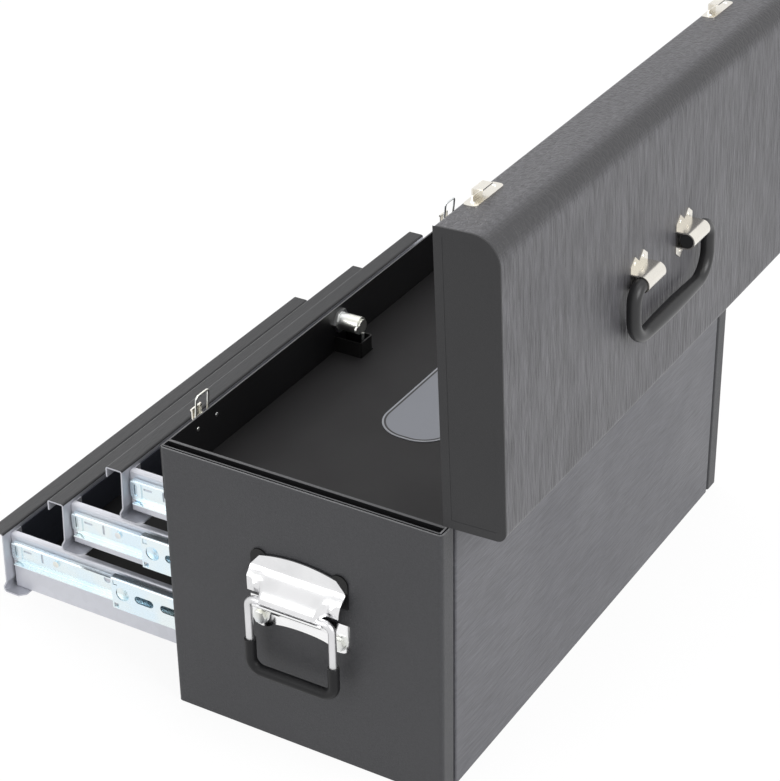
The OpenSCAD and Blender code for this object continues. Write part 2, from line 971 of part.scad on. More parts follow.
module slide_outer(i) {
    z = outer_h / 2;
    path = [
        [outer_in_x, race_lip - z],
        [outer_in_x, -z],
        [wall_x, -z],
        [wall_x, z],
        [outer_in_x, z],
        [outer_in_x, z - race_lip]
    ];
    color(zinc)
        both_sides()
            translate([0, 0, slide_z[i]])
                along_y(outer_y, outer_y + slide_l)
                    fold(path, rail_t, tight_r);
}

module slide_inner(i) {
    z = inner_h / 2;
    path = [
        [inner_tip_x, z],
        [box_x, z],
        [box_x, -z],
        [inner_tip_x, -z]
    ];
    web = [box_x - over, box_x + rail_t + over];
    clip_x = box_x + rail_t;
    color(zinc)
        pulled(i)
            both_sides()
                translate([0, inner_y, slide_z[i]]) {
                    difference() {
                        along_y(0, slide_l)
                            fold(path, rail_t, tight_r);
                        along_x(web[0], web[1]) {
                            translate(inner_slot_at)
                                polygon(round_box(inner_slot[0], inner_slot[1], inner_slot[1] / 2));
                            translate(upright_slot_at)
                                polygon(round_box(upright_slot[0], upright_slot[1], upright_slot[0] / 2));
                            translate(inner_hole_at)
                                circle(inner_hole_r);
                        }
                    }
                    along_x(clip_x, clip_x + rail_t)
                        difference() {
                            translate([clip[0] / 2 - clip_out, 0])
                                polygon(round_box(clip[0], clip[1], clip_corner, 1));
                            translate([clip[0] / 2 - clip_out, 0])
                                polygon(round_box(clip_slot[0], clip_slot[1], clip_slot[0] / 2));
                        }
                    translate([0, screw_at[0], screw_at[1]])
                        along_x(clip_x, clip_x + screw_h)
                            circle(screw_r);
                }
}

module slide_middle(i) {
    z = middle_h / 2;
    path = [
        [middle_in_x, middle_lip - z],
        [middle_in_x, -z],
        [middle_web_x, -z],
        [middle_web_x, z],
        [middle_in_x, z],
        [middle_in_x, z - middle_lip]
    ];
    outer_race = outer_h / 2 - rail_t - z;
    inner_race = z - rail_t - inner_h / 2;
    outer_ball = outer_race / 2 - ball_play;
    inner_ball = inner_race / 2 - ball_play;
    outer_ball_x = (outer_in_x + wall_x) / 2;
    inner_ball_x = (middle_in_x + rail_t + inner_tip_x) / 2;
    cage_l = ball_count * ball_pitch;
    color(zinc)
        pulled(i, follow_share)
            both_sides()
                translate([0, middle_y, slide_z[i]]) {
                    difference() {
                        along_y(0, slide_l)
                            fold(path, rail_t, tight_r);
                        along_x(middle_web_x - rail_t - over, middle_web_x + over) {
                            for (s = [-1, 1])
                                translate([square_hole_at[0], s * square_hole_at[1]])
                                    square(square_hole, center = true);
                            translate(round_hole_at)
                                circle(round_hole_r);
                            for (y = long_holes_at)
                                translate([y, round_hole_at[1]])
                                    polygon(round_box(long_hole[0], long_hole[1], long_hole[1] / 2));
                        }
                    }
                    for (s = [-1, 1])
                        upright(s) {
                            ball_cage(outer_ball_x, slide_l - cage_l - cage_inset, z,
                                      z + outer_race / 2, z + outer_race * cage_share, outer_ball);
                            ball_cage(inner_ball_x, cage_inset, z - rail_t, z - rail_t - inner_race / 2,
                                      z - rail_t - inner_race * cage_share, inner_ball);
                        }
                }
}

module upright(s) {
    if (s > 0)
        children();
    else
        mirror([0, 0, 1])
            children();
}

// Draw latches: base, lever and wire bail
module at_latch(s) {
    on_side(s)
        translate([latch_x, 0, 0])
            children();
}

module latch_bases() {
    cheek_x = wire_w / 2 + wire_r + knuckle_gap + knuckle_gap;
    cheek_r = latch_pin_r + latch_t;
    color(nickel)
        both_sides()
            translate([latch_x, 0, 0]) {
                translate([0, 0, latch_z - latch_pin_r])
                    along_y(front_y - latch_t, front_y)
                        polygon(round_box(latch_w, latch_h, latch_h * latch_corner_share));
                for (s = [-1, 1])
                    on_side(s)
                        along_x(cheek_x, cheek_x + latch_t)
                            union() {
                                translate([latch_y, latch_z])
                                    circle(cheek_r);
                                area([latch_y, latch_z - cheek_r],
                                     [front_y - latch_t / 2, latch_z + cheek_r]);
                            }
                along_x(-cheek_x - latch_t / 2, cheek_x + latch_t / 2)
                    translate([latch_y, latch_z])
                        circle(latch_pin_r);
            }
}

module latch_lever(s) {
    eye_r = latch_pin_r + pivot_fit + latch_t;
    wire_eye_r = wire_r + pivot_fit + latch_t * wire_eye_share;
    tip = [latch_y - eye_r * tip_share, latch_z + lever_h];
    plate = [
        [latch_y - eye_r, latch_z],
        [latch_y - eye_r, latch_z + throw + wire_eye_r],
        [tip[0], latch_z + throw + wire_eye_r * knee_share],
        tip
    ];
    color(nickel)
        at_latch(s)
            difference() {
                union() {
                    along_x(-neck_w / 2, neck_w / 2) {
                        translate([latch_y, latch_z])
                            circle(eye_r);
                        translate([latch_y, latch_z + throw])
                            circle(wire_eye_r);
                        area([latch_y - eye_r, latch_z], [latch_y, latch_z + throw]);
                    }
                    along_x(-lever_w / 2, lever_w / 2) {
                        fold(reversed(plate), latch_t);
                        translate(tip)
                            circle(latch_t);
                    }
                }
                along_x(-lever_w, lever_w) {
                    translate([latch_y, latch_z])
                        circle(latch_pin_r + pivot_fit);
                    translate([latch_y, latch_z + throw])
                        circle(wire_r + pivot_fit);
                }
            }
}

// The bail is one wire loop: its lower side passes through the lever
module latch_bail(s) {
    x = wire_w / 2;
    side_l = wire_l - wire_bend - wire_bend;
    lean = asin(wire_lean / wire_l);
    color(zinc)
        at_latch(s)
            translate([0, latch_y, latch_z + throw])
                rotate([-lean, 0, 0]) {
                    along_x(-x + wire_bend, x - wire_bend)
                        circle(wire_r);
                    translate([0, 0, wire_l])
                        along_x(-x + wire_bend, x - wire_bend)
                            circle(wire_r);
                    rotate([90, 0, 0])
                        for (c = [[1, 0, -90], [-1, 0, 180], [1, 1, 0], [-1, 1, 90]])
                            translate([c[0] * (x - wire_bend), wire_bend + c[1] * side_l, 0])
                                quarter(wire_bend, wire_r, c[2]);
                    for (s2 = [-1, 1])
                        translate([s2 * x, 0, 0])
                            along_z(wire_bend, wire_l - wire_bend)
                                circle(wire_r);
                }
}

// Lock with its cam and the rod that the cam pushes down
module lock_body() {
    color(zinc)
        translate([0, 0, lock_z])
            difference() {
                union() {
                    along_y(front_y - face_t, front_y)
                        circle(lock_face_r);
                    along_y(front_y - face_t, cam_y)
                        circle(lock_r);
                    along_y(front_y + sheet_t, front_y + sheet_t + nut_t)
                        circle(lock_face_r + nut_t / 2, $fn = 6);
                }
                along_y(front_y - face_t - over, front_y - face_t / 2)
                    square(key_slot, center = true);
            }
}

module lock_cam() {
    end_r = cam_hub_r / 2;
    color(zinc)
        translate([0, 0, lock_z])
            along_y(cam_y + pivot_fit, cam_y + pivot_fit + cam_t) {
                circle(cam_hub_r);
                area([0, -end_r], [cam_l - end_r, end_r]);
                translate([cam_l - end_r, 0])
                    circle(end_r);
            }
}

module lock_rod() {
    top = lock_z - cam_hub_r - strap_gap;
    color(zinc)
        translate([0, rod_y, 0])
            along_z(tray_z + rod_low, top)
                circle(rod_r);
}

module lock_guard() {
    x = guard_w / 2;
    path = [
        [-x, front_y + sheet_t],
        [-x, cam_y + guard_back],
        [x, cam_y + guard_back],
        [x, front_y + sheet_t]
    ];
    color(rubber_black)
        along_z(tray_top, tray_top + guard_h)
            fold(reversed(path), box_t);
}

// End handles: profiles are in the plane of X and Z
module mount_outline() {
    w = plate_w / 2;
    low = bail_z - mount_h;
    tab = w - bolt_w / 2;
    inner_tab = bolt_w / 2 - tab;
    polygon(concat(
        [[w, bail_z - bail_top_bend]],
        [for (k = [0 : bend_steps])
            [bolt_w / 2 + tab * cos(-90 * k / bend_steps), low + tab + tab * sin(-90 * k / bend_steps)]],
        [[inner_tab + tab * foot_share, low]],
        [for (k = [0 : large_steps])
            [inner_tab * cos(180 * k / large_steps),
             low + tab * (arch_low_share + arch_high_share * sin(180 * k / large_steps))]],
        [[-inner_tab - tab * foot_share, low]],
        [for (k = [0 : bend_steps])
            [-bolt_w / 2 + tab * cos(-90 - 90 * k / bend_steps),
             low + tab + tab * sin(-90 - 90 * k / bend_steps)]],
        [[-w, bail_z - bail_top_bend]]));
}

module handle_plate(s) {
    half = bail_w / 2 - bail_top_bend;
    low_z = bail_z - mount_h * leaf_share;
    color(chrome_tone)
        on_side(s) {
            along_x(end_x, end_x + plate_t)
                mount_outline();
            along_y(-half, half)
                difference() {
                    union() {
                        fold([[end_x + plate_t, low_z - plate_t],
                              [bail_x, bail_z - saddle_r - plate_t]], plate_t, 0);
                        translate([bail_x, bail_z])
                            circle(saddle_r + plate_t);
                    }
                    translate([bail_x, bail_z])
                        circle(saddle_r);
                    area([bail_x - bail_stand, bail_z], [bail_x + bail_stand, bail_z + bail_stand]);
                }
        }
}

module stop_outline() {
    w = plate_w / 2;
    top = bail_z + stop_h;
    low = bail_z + bail_r + strap_gap + strap_gap;
    knee = bail_z + stop_h * stop_knee_share;
    shoulder = top - stop_bow * stop_drop_share;
    arc_w = w - w * stop_in_share / 2;
    polygon(concat(
        [[w, low], [w * stop_side_share, knee], [w * stop_corner_share, shoulder]],
        [for (k = [0 : large_steps])
            let (a = stop_arc_from + stop_arc_turn * k / large_steps)
                [arc_w * cos(a), top - stop_bow + stop_bow * sin(a)]],
        [[-w * stop_corner_share, shoulder], [-w * stop_side_share, knee], [-w, low]]));
}

module stop_plate(s) {
    bead_r = saddle_r + plate_t;
    path = [
        [end_x + pad_t, bail_z + stop_h],
        [end_x + pad_t, bail_z + stop_h * stop_flat_share],
        [bail_x - bead_r, bail_z + bead_r * bead_share],
        [bail_x, bail_z + bead_r],
        [bail_x + saddle_r * stop_edge_share, bail_z + saddle_r + plate_t / 2]
    ];
    color(chrome_tone)
        on_side(s)
            intersection() {
                along_y(-plate_w / 2, plate_w / 2)
                    fold(path, plate_t, stop_r);
                along_x(end_x, bail_x + bail_stand)
                    stop_outline();
            }
}

module handle_pads() {
    top = bail_z + stop_h + pad_r / 2;
    x = bolt_w / 2;
    color(rubber_black)
        both_sides()
            along_x(end_x, end_x + pad_t) {
                for (s = [-1, 1])
                    translate([s * x, top - pad_r])
                        circle(pad_r);
                area([-x - pad_r, bail_z + pad_r], [x + pad_r, top - pad_r]);
            }
}

module handle_bolts() {
    color(zinc)
        both_sides()
            for (s = [-1, 1])
                translate([0, s * bolt_w / 2, bail_z - mount_h + bolt_lift]) {
                    along_x(end_x + plate_t, end_x + plate_t + bolt_h * washer_t_share)
                        circle(bolt_r * washer_share);
                    along_x(end_x + plate_t, end_x + plate_t + bolt_h)
                        circle(bolt_r, $fn = 6);
                }
}

// Rod loop in the plane of Y and Z, pivot side on top
module bail(s) {
    y = bail_w / 2;
    top = y - bail_top_bend;
    low = y - bail_low_bend;
    color(chrome_tone)
        on_side(s)
            translate([bail_x, 0, bail_z])
                rotate([90, 0, 90]) {
                    rod_x(-top, top, 0, bail_r);
                    rod_x(-low, low, -bail_drop, bail_r);
                    for (m = [0, 1])
                        mirror([m, 0, 0]) {
                            translate([top, -bail_top_bend, 0])
                                quarter(bail_top_bend, bail_r, 0);
                            rod_y(y, -bail_drop + bail_low_bend, -bail_top_bend, bail_r);
                            translate([low, -bail_drop + bail_low_bend, 0])
                                quarter(bail_low_bend, bail_r, -90);
                        }
                }
}

module rod_x(a, b, y, r) {
    translate([0, y, 0])
        along_x(a, b)
            circle(r);
}

module rod_y(x, a, b, r) {
    translate([x, 0, 0])
        along_y(a, b)
            circle(r);
}

// Rubber sleeve round the lower part of the bail
module grip(s) {
    y = bail_w / 2;
    low = y - bail_low_bend;
    color(rubber_black)
        on_side(s)
            translate([bail_x, 0, bail_z])
                rotate([90, 0, 90])
                    difference() {
                        sleeve(low, y, rubber_r, -rubber_drop);
                        sleeve(low, y, bail_r + pivot_fit, -rubber_drop + over);
                    }
}

module sleeve(low, y, r, top) {
    rod_x(-low, low, -bail_drop, r);
    for (m = [0, 1])
        mirror([m, 0, 0]) {
            rod_y(y, -bail_drop + bail_low_bend, top, r);
            translate([low, -bail_drop + bail_low_bend, 0])
                quarter(bail_low_bend, r, -90);
        }
}

end_panel(1);  // end_panel_right
end_panel(-1);  // end_panel_left
end_rims();
back_panel();
base_pan();
top_rail();
base_rail();
side_frame(1);  // side_frame_right
side_frame(-1);  // side_frame_left
tray_floor();
tray_mat();
tray_badge();
hinge_leaf_body();
hinge_pin();
latch_bases();
lock_body();
lock_guard();
slide_outer(0);  // slide_outer_1
slide_outer(1);  // slide_outer_2
slide_outer(2);  // slide_outer_3
handle_plate(1);  // handle_plate_right
handle_plate(-1);  // handle_plate_left
stop_plate(1);  // stop_plate_right
stop_plate(-1);  // stop_plate_left
handle_pads();
handle_bolts();
lid_shell();
lid_end(1);  // lid_end_right
lid_end(-1);  // lid_end_left
hinge_leaf_lid();
keepers();
lid_brackets();
lid_handle();
latch_lever(1);  // latch_lever_right
latch_lever(-1);  // latch_lever_left
latch_bail(1);  // latch_bail_right
latch_bail(-1);  // latch_bail_left
lock_cam();
lock_rod();
bail(1);  // bail_right
bail(-1);  // bail_left
grip(1);  // grip_right
grip(-1);  // grip_left
drawer_front(0);  // drawer_front_1
drawer_box(0);  // drawer_box_1
drawer_liner(0);  // drawer_liner_1
slide_inner(0);  // slide_inner_1
slide_middle(0);  // slide_middle_1
drawer_front(1);  // drawer_front_2
drawer_box(1);  // drawer_box_2
drawer_liner(1);  // drawer_liner_2
slide_inner(1);  // slide_inner_2
slide_middle(1);  // slide_middle_2
drawer_front(2);  // drawer_front_3
drawer_box(2);  // drawer_box_3
drawer_liner(2);  // drawer_liner_3
slide_inner(2);  // slide_inner_3
slide_middle(2);  // slide_middle_3
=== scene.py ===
"""Looks of a steel tool chest: finishes for its panels and hardware, small fasteners, studio and camera."""
import logging
import math
from dataclasses import dataclass, field
from enum import Enum
from typing import Callable, ClassVar, Iterable, Sequence

import bmesh
import bpy
from mathutils import Matrix, Vector


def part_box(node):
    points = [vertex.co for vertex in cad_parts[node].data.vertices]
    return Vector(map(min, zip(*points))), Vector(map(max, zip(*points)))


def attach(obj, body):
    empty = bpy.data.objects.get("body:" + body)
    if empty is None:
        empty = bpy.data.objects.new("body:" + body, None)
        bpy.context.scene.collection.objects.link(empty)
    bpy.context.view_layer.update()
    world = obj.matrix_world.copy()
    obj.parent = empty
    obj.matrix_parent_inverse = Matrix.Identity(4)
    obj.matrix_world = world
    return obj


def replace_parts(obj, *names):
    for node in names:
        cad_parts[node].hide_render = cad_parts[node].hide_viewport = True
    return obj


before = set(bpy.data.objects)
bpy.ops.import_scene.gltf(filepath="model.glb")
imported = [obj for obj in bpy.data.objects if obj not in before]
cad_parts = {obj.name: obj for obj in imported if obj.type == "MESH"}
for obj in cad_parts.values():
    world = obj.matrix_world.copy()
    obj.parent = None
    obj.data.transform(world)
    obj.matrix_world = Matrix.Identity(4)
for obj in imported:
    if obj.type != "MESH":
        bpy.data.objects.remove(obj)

log = logging.getLogger("tool_chest")

Colour = tuple[float, float, float]
Point = tuple[float, float, float]

IMAGE_W = 780
IMAGE_H = 781
MM = 0.001
TRAY_TOP = 283.0 * MM
MIX_SHARE, MIX_A, MIX_B, MIX_RESULT = 0, 6, 7, 2


class Along(Enum):
    """The way that a coating's grain or a metal's brushing runs."""

    X = (0.12, 1.0, 1.0)
    Y = (1.0, 0.12, 1.0)
    Z = (1.0, 1.0, 0.12)
    NONE = (1.0, 1.0, 1.0)


class Face(Enum):
    """A direction that a flat face looks in."""

    RIGHT = (1.0, 0.0, 0.0)
    LEFT = (-1.0, 0.0, 0.0)
    FRONT = (0.0, -1.0, 0.0)
    BACK = (0.0, 1.0, 0.0)
    TOP = (0.0, 0.0, 1.0)


# Node trees


def toned(colour: Colour, share: float) -> Colour:
    """Gives a colour made darker or paler by a share, no brighter than white."""
    return tuple(min(1.0, c * share) for c in colour)


class Graph:
    """A shader tree or node group being filled, with short calls that add nodes and join them."""

    def __init__(self, tree: bpy.types.NodeTree) -> None:
        """Starts on a tree.

        Args:
            tree: the material's tree or the node group to fill.
        """
        self.tree = tree

    def add(self, kind: str, **inputs: object) -> bpy.types.Node:
        """Adds a node and sets or links its inputs.

        Args:
            kind: the node's type, without the ShaderNode in front of it.
            inputs: values or output sockets, keyed by input name with _ for a space.

        Returns:
            The new node.
        """
        made = self.tree.nodes.new(kind if kind.startswith("Node") else "ShaderNode" + kind)
        for name, value in inputs.items():
            self.put(made.inputs[name.replace("_", " ")], value)
        return made

    def put(self, socket: bpy.types.NodeSocket, value: object) -> None:
        """Links an output to a socket, or sets the socket to a plain value.

        Args:
            socket: the input to fill.
            value: an output, a number or a tuple. A colour may leave out its alpha.
        """
        if isinstance(value, bpy.types.NodeSocket):
            self.tree.links.new(value, socket)
        elif isinstance(value, tuple) and socket.type == "RGBA" and len(value) == 3:
            socket.default_value = (*value, 1.0)
        else:
            socket.default_value = value

    def sum(self, operation: str, a: object, b: object = 0.0, clamp: bool = False) -> bpy.types.NodeSocket:
        """Adds a Math node.

        Args:
            operation: the node's operation, such as MULTIPLY.
            a: its first value or socket.
            b: its second value or socket.
            clamp: whether the result is held between 0 and 1.

        Returns:
            The node's output.
        """
        made = self.tree.nodes.new("ShaderNodeMath")
        made.operation, made.use_clamp = operation, clamp
        self.put(made.inputs[0], a)
        if len(made.inputs) > 1:
            self.put(made.inputs[1], b)
        return made.outputs[0]

    def vector(self, operation: str, a: object, b: object = (0.0, 0.0, 0.0)) -> bpy.types.Node:
        """Adds a Vector Math node.

        Args:
            operation: the node's operation, such as MULTIPLY.
            a: its first vector or socket.
            b: its second vector or socket.

        Returns:
            The node.
        """
        made = self.tree.nodes.new("ShaderNodeVectorMath")
        made.operation = operation
        self.put(made.inputs[0], a)
        self.put(made.inputs[1], b)
        return made

    def ramp(
        self, value: object, low: float, high: float, to_low: float = 0.0, to_high: float = 1.0
    ) -> bpy.types.NodeSocket:
        """Adds a clamped Map Range node.

        Args:
            value: the value or socket to map.
            low: where the input range starts.
            high: where the input range ends.
            to_low: what low becomes.
            to_high: what high becomes.

        Returns:
            The mapped value.
        """
        made = self.add("MapRange", Value=value, From_Min=low, From_Max=high, To_Min=to_low, To_Max=to_high)
        return made.outputs[0]

    def spread(self, share: object, middle: float, reach: float) -> bpy.types.NodeSocket:
        """Maps a share from 0 to 1 onto the range that reaches as far on both sides of a middle."""
        return self.ramp(share, 0.0, 1.0, middle - reach, middle + reach)

    def blend(self, share: object, a: object, b: object) -> bpy.types.NodeSocket:
        """Mixes two colours.

        Args:
            share: how much of the second colour shows, from 0 to 1.
            a: the first colour.
            b: the second colour.

        Returns:
            The mixed colour.
        """
        made = self.tree.nodes.new("ShaderNodeMix")
        made.data_type = "RGBA"
        self.put(made.inputs[MIX_SHARE], share)
        self.put(made.inputs[MIX_A], a)
        self.put(made.inputs[MIX_B], b)
        return made.outputs[MIX_RESULT]

    def vary(self, share: object, colour: Colour, variation: float) -> bpy.types.NodeSocket:
        """Moves a colour between a darker and a paler tone of itself."""
        return self.blend(share, toned(colour, 1.0 - variation), toned(colour, 1.0 + variation))

    def noise(
        self, vector: object, scale: float, detail: float = 3.0, rough: float = 0.55
    ) -> bpy.types.NodeSocket:
        """Adds a Noise texture of some scale, detail and roughness, and returns its value."""
        made = self.add("TexNoise", Vector=vector, Scale=scale, Detail=detail, Roughness=rough)
        return made.outputs["Fac"]

    def parts(self, vector: object) -> list[bpy.types.NodeSocket]:
        """Splits a vector into its three numbers."""
        return list(self.add("SeparateXYZ", Vector=vector).outputs)


class Effects:
    """Shared effects, each a node group that is built once."""

    grain_scale: ClassVar[float] = 400.0
    drift_scale: ClassVar[float] = 60.0
    drift: ClassVar[float] = 0.004
    crease_width: ClassVar[float] = 0.22
    crease_share: ClassVar[float] = 0.45
    streak_share: ClassVar[float] = 0.5
    streak_noise: ClassVar[tuple[float, float]] = (5.0, 0.65)
    grit_scale: ClassVar[float] = 1500.0
    grit_share: ClassVar[float] = 0.18
    middle_band: ClassVar[tuple[float, float]] = (0.3, 0.7)
    smudge_scale: ClassVar[float] = 9.0
    smudge_noise: ClassVar[tuple[float, float]] = (4.0, 0.6)
    hair_turn: ClassVar[Point] = (0.4, 0.7, 0.5)
    hair_stretch: ClassVar[Point] = (1.0, 26.0, 26.0)
    hair_scale: ClassVar[float] = 30.0
    hair_band: ClassVar[tuple[float, float]] = (0.70, 0.76)
    edge_band: ClassVar[tuple[float, float]] = (0.1 * MM, 0.4 * MM)
    _made: ClassVar[dict[str, bpy.types.NodeTree]] = {}

    @classmethod
    def group(
        cls,
        name: str,
        takes: dict[str, object],
        gives: dict[str, str],
        fill: Callable[[Graph, bpy.types.Node], dict[str, object]],
    ) -> bpy.types.NodeTree:
        """Builds a node group, or returns the one already built.

        Args:
            name: the group's name.
            takes: input names, each with its default: a number, or a tuple for a vector.
            gives: output names, each with its socket type.
            fill: a function that fills the group and returns the socket for each output.

        Returns:
            The node group.
        """
        if name not in cls._made:
            tree = bpy.data.node_groups.new(name, "ShaderNodeTree")
            for key, value in takes.items():
                kind = "NodeSocketVector" if isinstance(value, tuple) else "NodeSocketFloat"
                socket = tree.interface.new_socket(name=key, in_out="INPUT", socket_type=kind)
                socket.default_value = value
            for key, kind in gives.items():
                tree.interface.new_socket(name=key, in_out="OUTPUT", socket_type=kind)
            graph = Graph(tree)
            ends = fill(graph, graph.add("NodeGroupInput"))
            last = graph.add("NodeGroupOutput")
            for key, value in ends.items():
                graph.put(last.inputs[key], value)
            cls._made[name] = tree
        return cls._made[name]

    @classmethod
    def place(cls, graph: Graph, tree: bpy.types.NodeTree, **inputs: object) -> bpy.types.Node:
        """Places a group in a material with its own values.

        Args:
            graph: the material's tree.
            tree: the group.
            inputs: values or output sockets, keyed by input name with _ for a space.

        Returns:
            The node that holds the group.
        """
        made = graph.tree.nodes.new("ShaderNodeGroup")
        made.node_tree = tree
        for name, value in inputs.items():
            graph.put(made.inputs[name.replace("_", " ")], value)
        return made

    @classmethod
    def coating(cls) -> bpy.types.NodeTree:
        """Grain of a coated sheet: crinkled streaks with fine grit.

        Returns:
            The group, which gives a height and a tone.
        """

        def fill(g: Graph, start: bpy.types.Node) -> dict[str, object]:
            """Fills the group.

            Args:
                g: the group's tree.
                start: the node that gives the group's inputs.

            Returns:
                The socket for each output.
            """
            place = g.vector("MULTIPLY", start.outputs["Vector"], start.outputs["Stretch"]).outputs[0]
            drift = g.vector("SCALE", g.add("TexNoise", Vector=place, Scale=cls.drift_scale).outputs["Color"])
            drift.inputs["Scale"].default_value = cls.drift
            bent = g.vector("ADD", place, drift.outputs[0]).outputs[0]
            creases = g.tree.nodes.new("ShaderNodeTexVoronoi")
            creases.feature = "DISTANCE_TO_EDGE"
            g.put(creases.inputs["Vector"], bent)
            g.put(creases.inputs["Scale"], start.outputs["Scale"])
            cells = g.ramp(creases.outputs["Distance"], 0.0, cls.crease_width)
            streak = g.noise(bent, start.outputs["Scale"], *cls.streak_noise)
            grit = g.noise(start.outputs["Vector"], cls.grit_scale, 2.0)
            height = g.sum(
                "ADD", g.sum("MULTIPLY", cells, cls.crease_share), g.sum("MULTIPLY", streak, cls.streak_share)
            )
            return {
                "Height": g.sum("ADD", height, g.sum("MULTIPLY", grit, cls.grit_share)),
                "Tone": g.ramp(streak, *cls.middle_band),
            }

        return cls.group(
            "coating grain",
            {"Vector": (0.0, 0.0, 0.0), "Stretch": (1.0, 1.0, 1.0), "Scale": cls.grain_scale},
            {"Height": "NodeSocketFloat", "Tone": "NodeSocketFloat"},
            fill,
        )

    @classmethod
    def handling(cls) -> bpy.types.NodeTree:
        """Soft marks of use: a slow change over a surface, with a few fine hairline scratches.

        Returns:
            The group, which gives a smudge and a scratch mask.
        """

        def fill(g: Graph, start: bpy.types.Node) -> dict[str, object]:
            """Fills the group.

            Args:
                g: the group's tree.
                start: the node that gives the group's inputs.

            Returns:
                The socket for each output.
            """
            slow = g.noise(start.outputs["Vector"], cls.smudge_scale, *cls.smudge_noise)
            turned = g.add("Mapping", Vector=start.outputs["Vector"])
            turned.inputs["Rotation"].default_value = cls.hair_turn
            turned.inputs["Scale"].default_value = cls.hair_stretch
            hairs = g.noise(turned.outputs[0], cls.hair_scale, 2.0)
            return {"Smudge": g.ramp(slow, *cls.middle_band), "Scratch": g.ramp(hairs, *cls.hair_band)}

        return cls.group(
            "handling marks",
            {"Vector": (0.0, 0.0, 0.0)},
            {"Smudge": "NodeSocketFloat", "Scratch": "NodeSocketFloat"},
            fill,
        )

    @classmethod
    def level(cls) -> bpy.types.NodeTree:
        """Mask of the sheets' top edge that lies at one height, for a paler band that is partly the bare cut
        edge and partly a painted highlight.

        Returns:
            The group, which gives the mask.
        """

        def fill(g: Graph, start: bpy.types.Node) -> dict[str, object]:
            """Fills the group.

            Args:
                g: the group's tree.
                start: the node that gives the group's inputs.

            Returns:
                The socket for each output.
            """
            z = g.parts(start.outputs["Vector"])[2]
            away = g.sum("ABSOLUTE", g.sum("SUBTRACT", z, start.outputs["Height"]))
            return {"Mask": g.ramp(away, *cls.edge_band, 1.0, 0.0)}

        return cls.group(
            "edge at a height",
            {"Vector": (0.0, 0.0, 0.0), "Height": TRAY_TOP},
            {"Mask": "NodeSocketFloat"},
            fill,
        )


# Finishes


@dataclass(frozen=True)
class Finish:
    """A surface finish that becomes one material."""

    name: str

    def start(self) -> tuple[bpy.types.Material, Graph, bpy.types.Node, bpy.types.NodeSocket]:
        """Makes an empty material.

        Returns:
            The material, its tree, its Principled BSDF and the object coordinates.
        """
        made = bpy.data.materials.new(self.name)
        made.use_nodes = True
        graph = Graph(made.node_tree)
        shader = made.node_tree.nodes["Principled BSDF"]
        return made, graph, shader, graph.add("TexCoord").outputs["Object"]

    def build(self) -> bpy.types.Material:
        """Builds the material."""
        raise NotImplementedError

    def reopen(self, made: bpy.types.Material) -> tuple[Graph, bpy.types.Node, bpy.types.NodeSocket]:
        """Opens a material again, for a finish that adds to a plainer one.

        Args:
            made: the material.

        Returns:
            Its tree, its Principled BSDF and the socket that feeds its Base Color.
        """
        shader = made.node_tree.nodes["Principled BSDF"]
        return Graph(made.node_tree), shader, shader.inputs["Base Color"].links[0].from_socket

    @property
    def material(self) -> bpy.types.Material:
        """The finish's material, built at its first use."""
        found = bpy.data.materials.get(self.name)
        return found if found else self.build()


def bump(graph: Graph, shader: bpy.types.Node, height: object, strength: float, depth: float) -> None:
    """Feeds a height to a shader's normal.

    Args:
        graph: the material's tree.
        shader: the shader to feed.
        height: the height, from 0 to 1.
        strength: how much of the bump shows.
        depth: how deep a height of 1 is, in metres.
    """
    made = graph.add("Bump", Height=height, Strength=strength, Distance=depth)
    graph.put(shader.inputs["Normal"], made.outputs["Normal"])


@dataclass(frozen=True)
class CoatedSheet(Finish):
    """Sheet steel under a grained coating, with a paler band on its top edge at one height that is partly the
    bare cut edge and partly a painted highlight.
    """

    colour: Colour
    roughness: float = 0.5
    along: Along = Along.NONE
    grain: float = 420.0
    relief: float = 0.5
    variation: float = 0.12
    edge_height: float = -1.0
    edge_and_highlight_colour: Colour = (0.32, 0.32, 0.33)
    depth: float = 0.25 * MM
    sheen: float = 0.5
    scratch_share: float = 0.25
    scuff_share: float = 1.25
    scuff_lift: float = 0.01
    smudge_reach: float = 0.05

    def build(self) -> bpy.types.Material:
        """Builds the material.

        Returns:
            The material.
        """
        made, g, shader, place = self.start()
        grain = Effects.place(g, Effects.coating(), Vector=place, Stretch=self.along.value, Scale=self.grain)
        marks = Effects.place(g, Effects.handling(), Vector=place)
        colour = g.vary(grain.outputs["Tone"], self.colour, self.variation)
        scuffed = tuple(min(1.0, c * self.scuff_share + self.scuff_lift) for c in self.colour)
        colour = g.blend(g.sum("MULTIPLY", marks.outputs["Scratch"], self.scratch_share), colour, scuffed)
        # Paler band on the top edge: partly the bare cut edge, partly a painted highlight.
        edge = Effects.place(g, Effects.level(), Vector=place, Height=self.edge_height)
        colour = g.blend(edge.outputs["Mask"], colour, self.edge_and_highlight_colour)
        g.put(shader.inputs["Base Color"], colour)
        rough = g.spread(marks.outputs["Smudge"], self.roughness, self.smudge_reach)
        g.put(shader.inputs["Roughness"], rough)
        shader.inputs["Specular IOR Level"].default_value = self.sheen
        bump(g, shader, grain.outputs["Height"], self.relief, self.depth)
        return made


@dataclass(frozen=True)
class LidSheet(CoatedSheet):
    """The lid's coating, with a painted dark reflection along the wide front bend."""

    painted_reflection_share: float = 0.42
    painted_reflection_band: tuple[float, float] = (0.22, 0.46)

    def build(self) -> bpy.types.Material:
        """Builds the material.

        Returns:
            The material.
        """
        made = super().build()
        g, shader, plain = self.reopen(made)
        # Painted dark reflection: faces along the front bend that look both back and up are darkened.
        _, ny, nz = g.parts(g.add("TexCoord").outputs["Normal"])
        band = g.ramp(g.sum("MULTIPLY", ny, nz), *self.painted_reflection_band)
        g.put(shader.inputs["Base Color"], g.blend(band, plain, toned(self.colour, self.painted_reflection_share)))
        return made


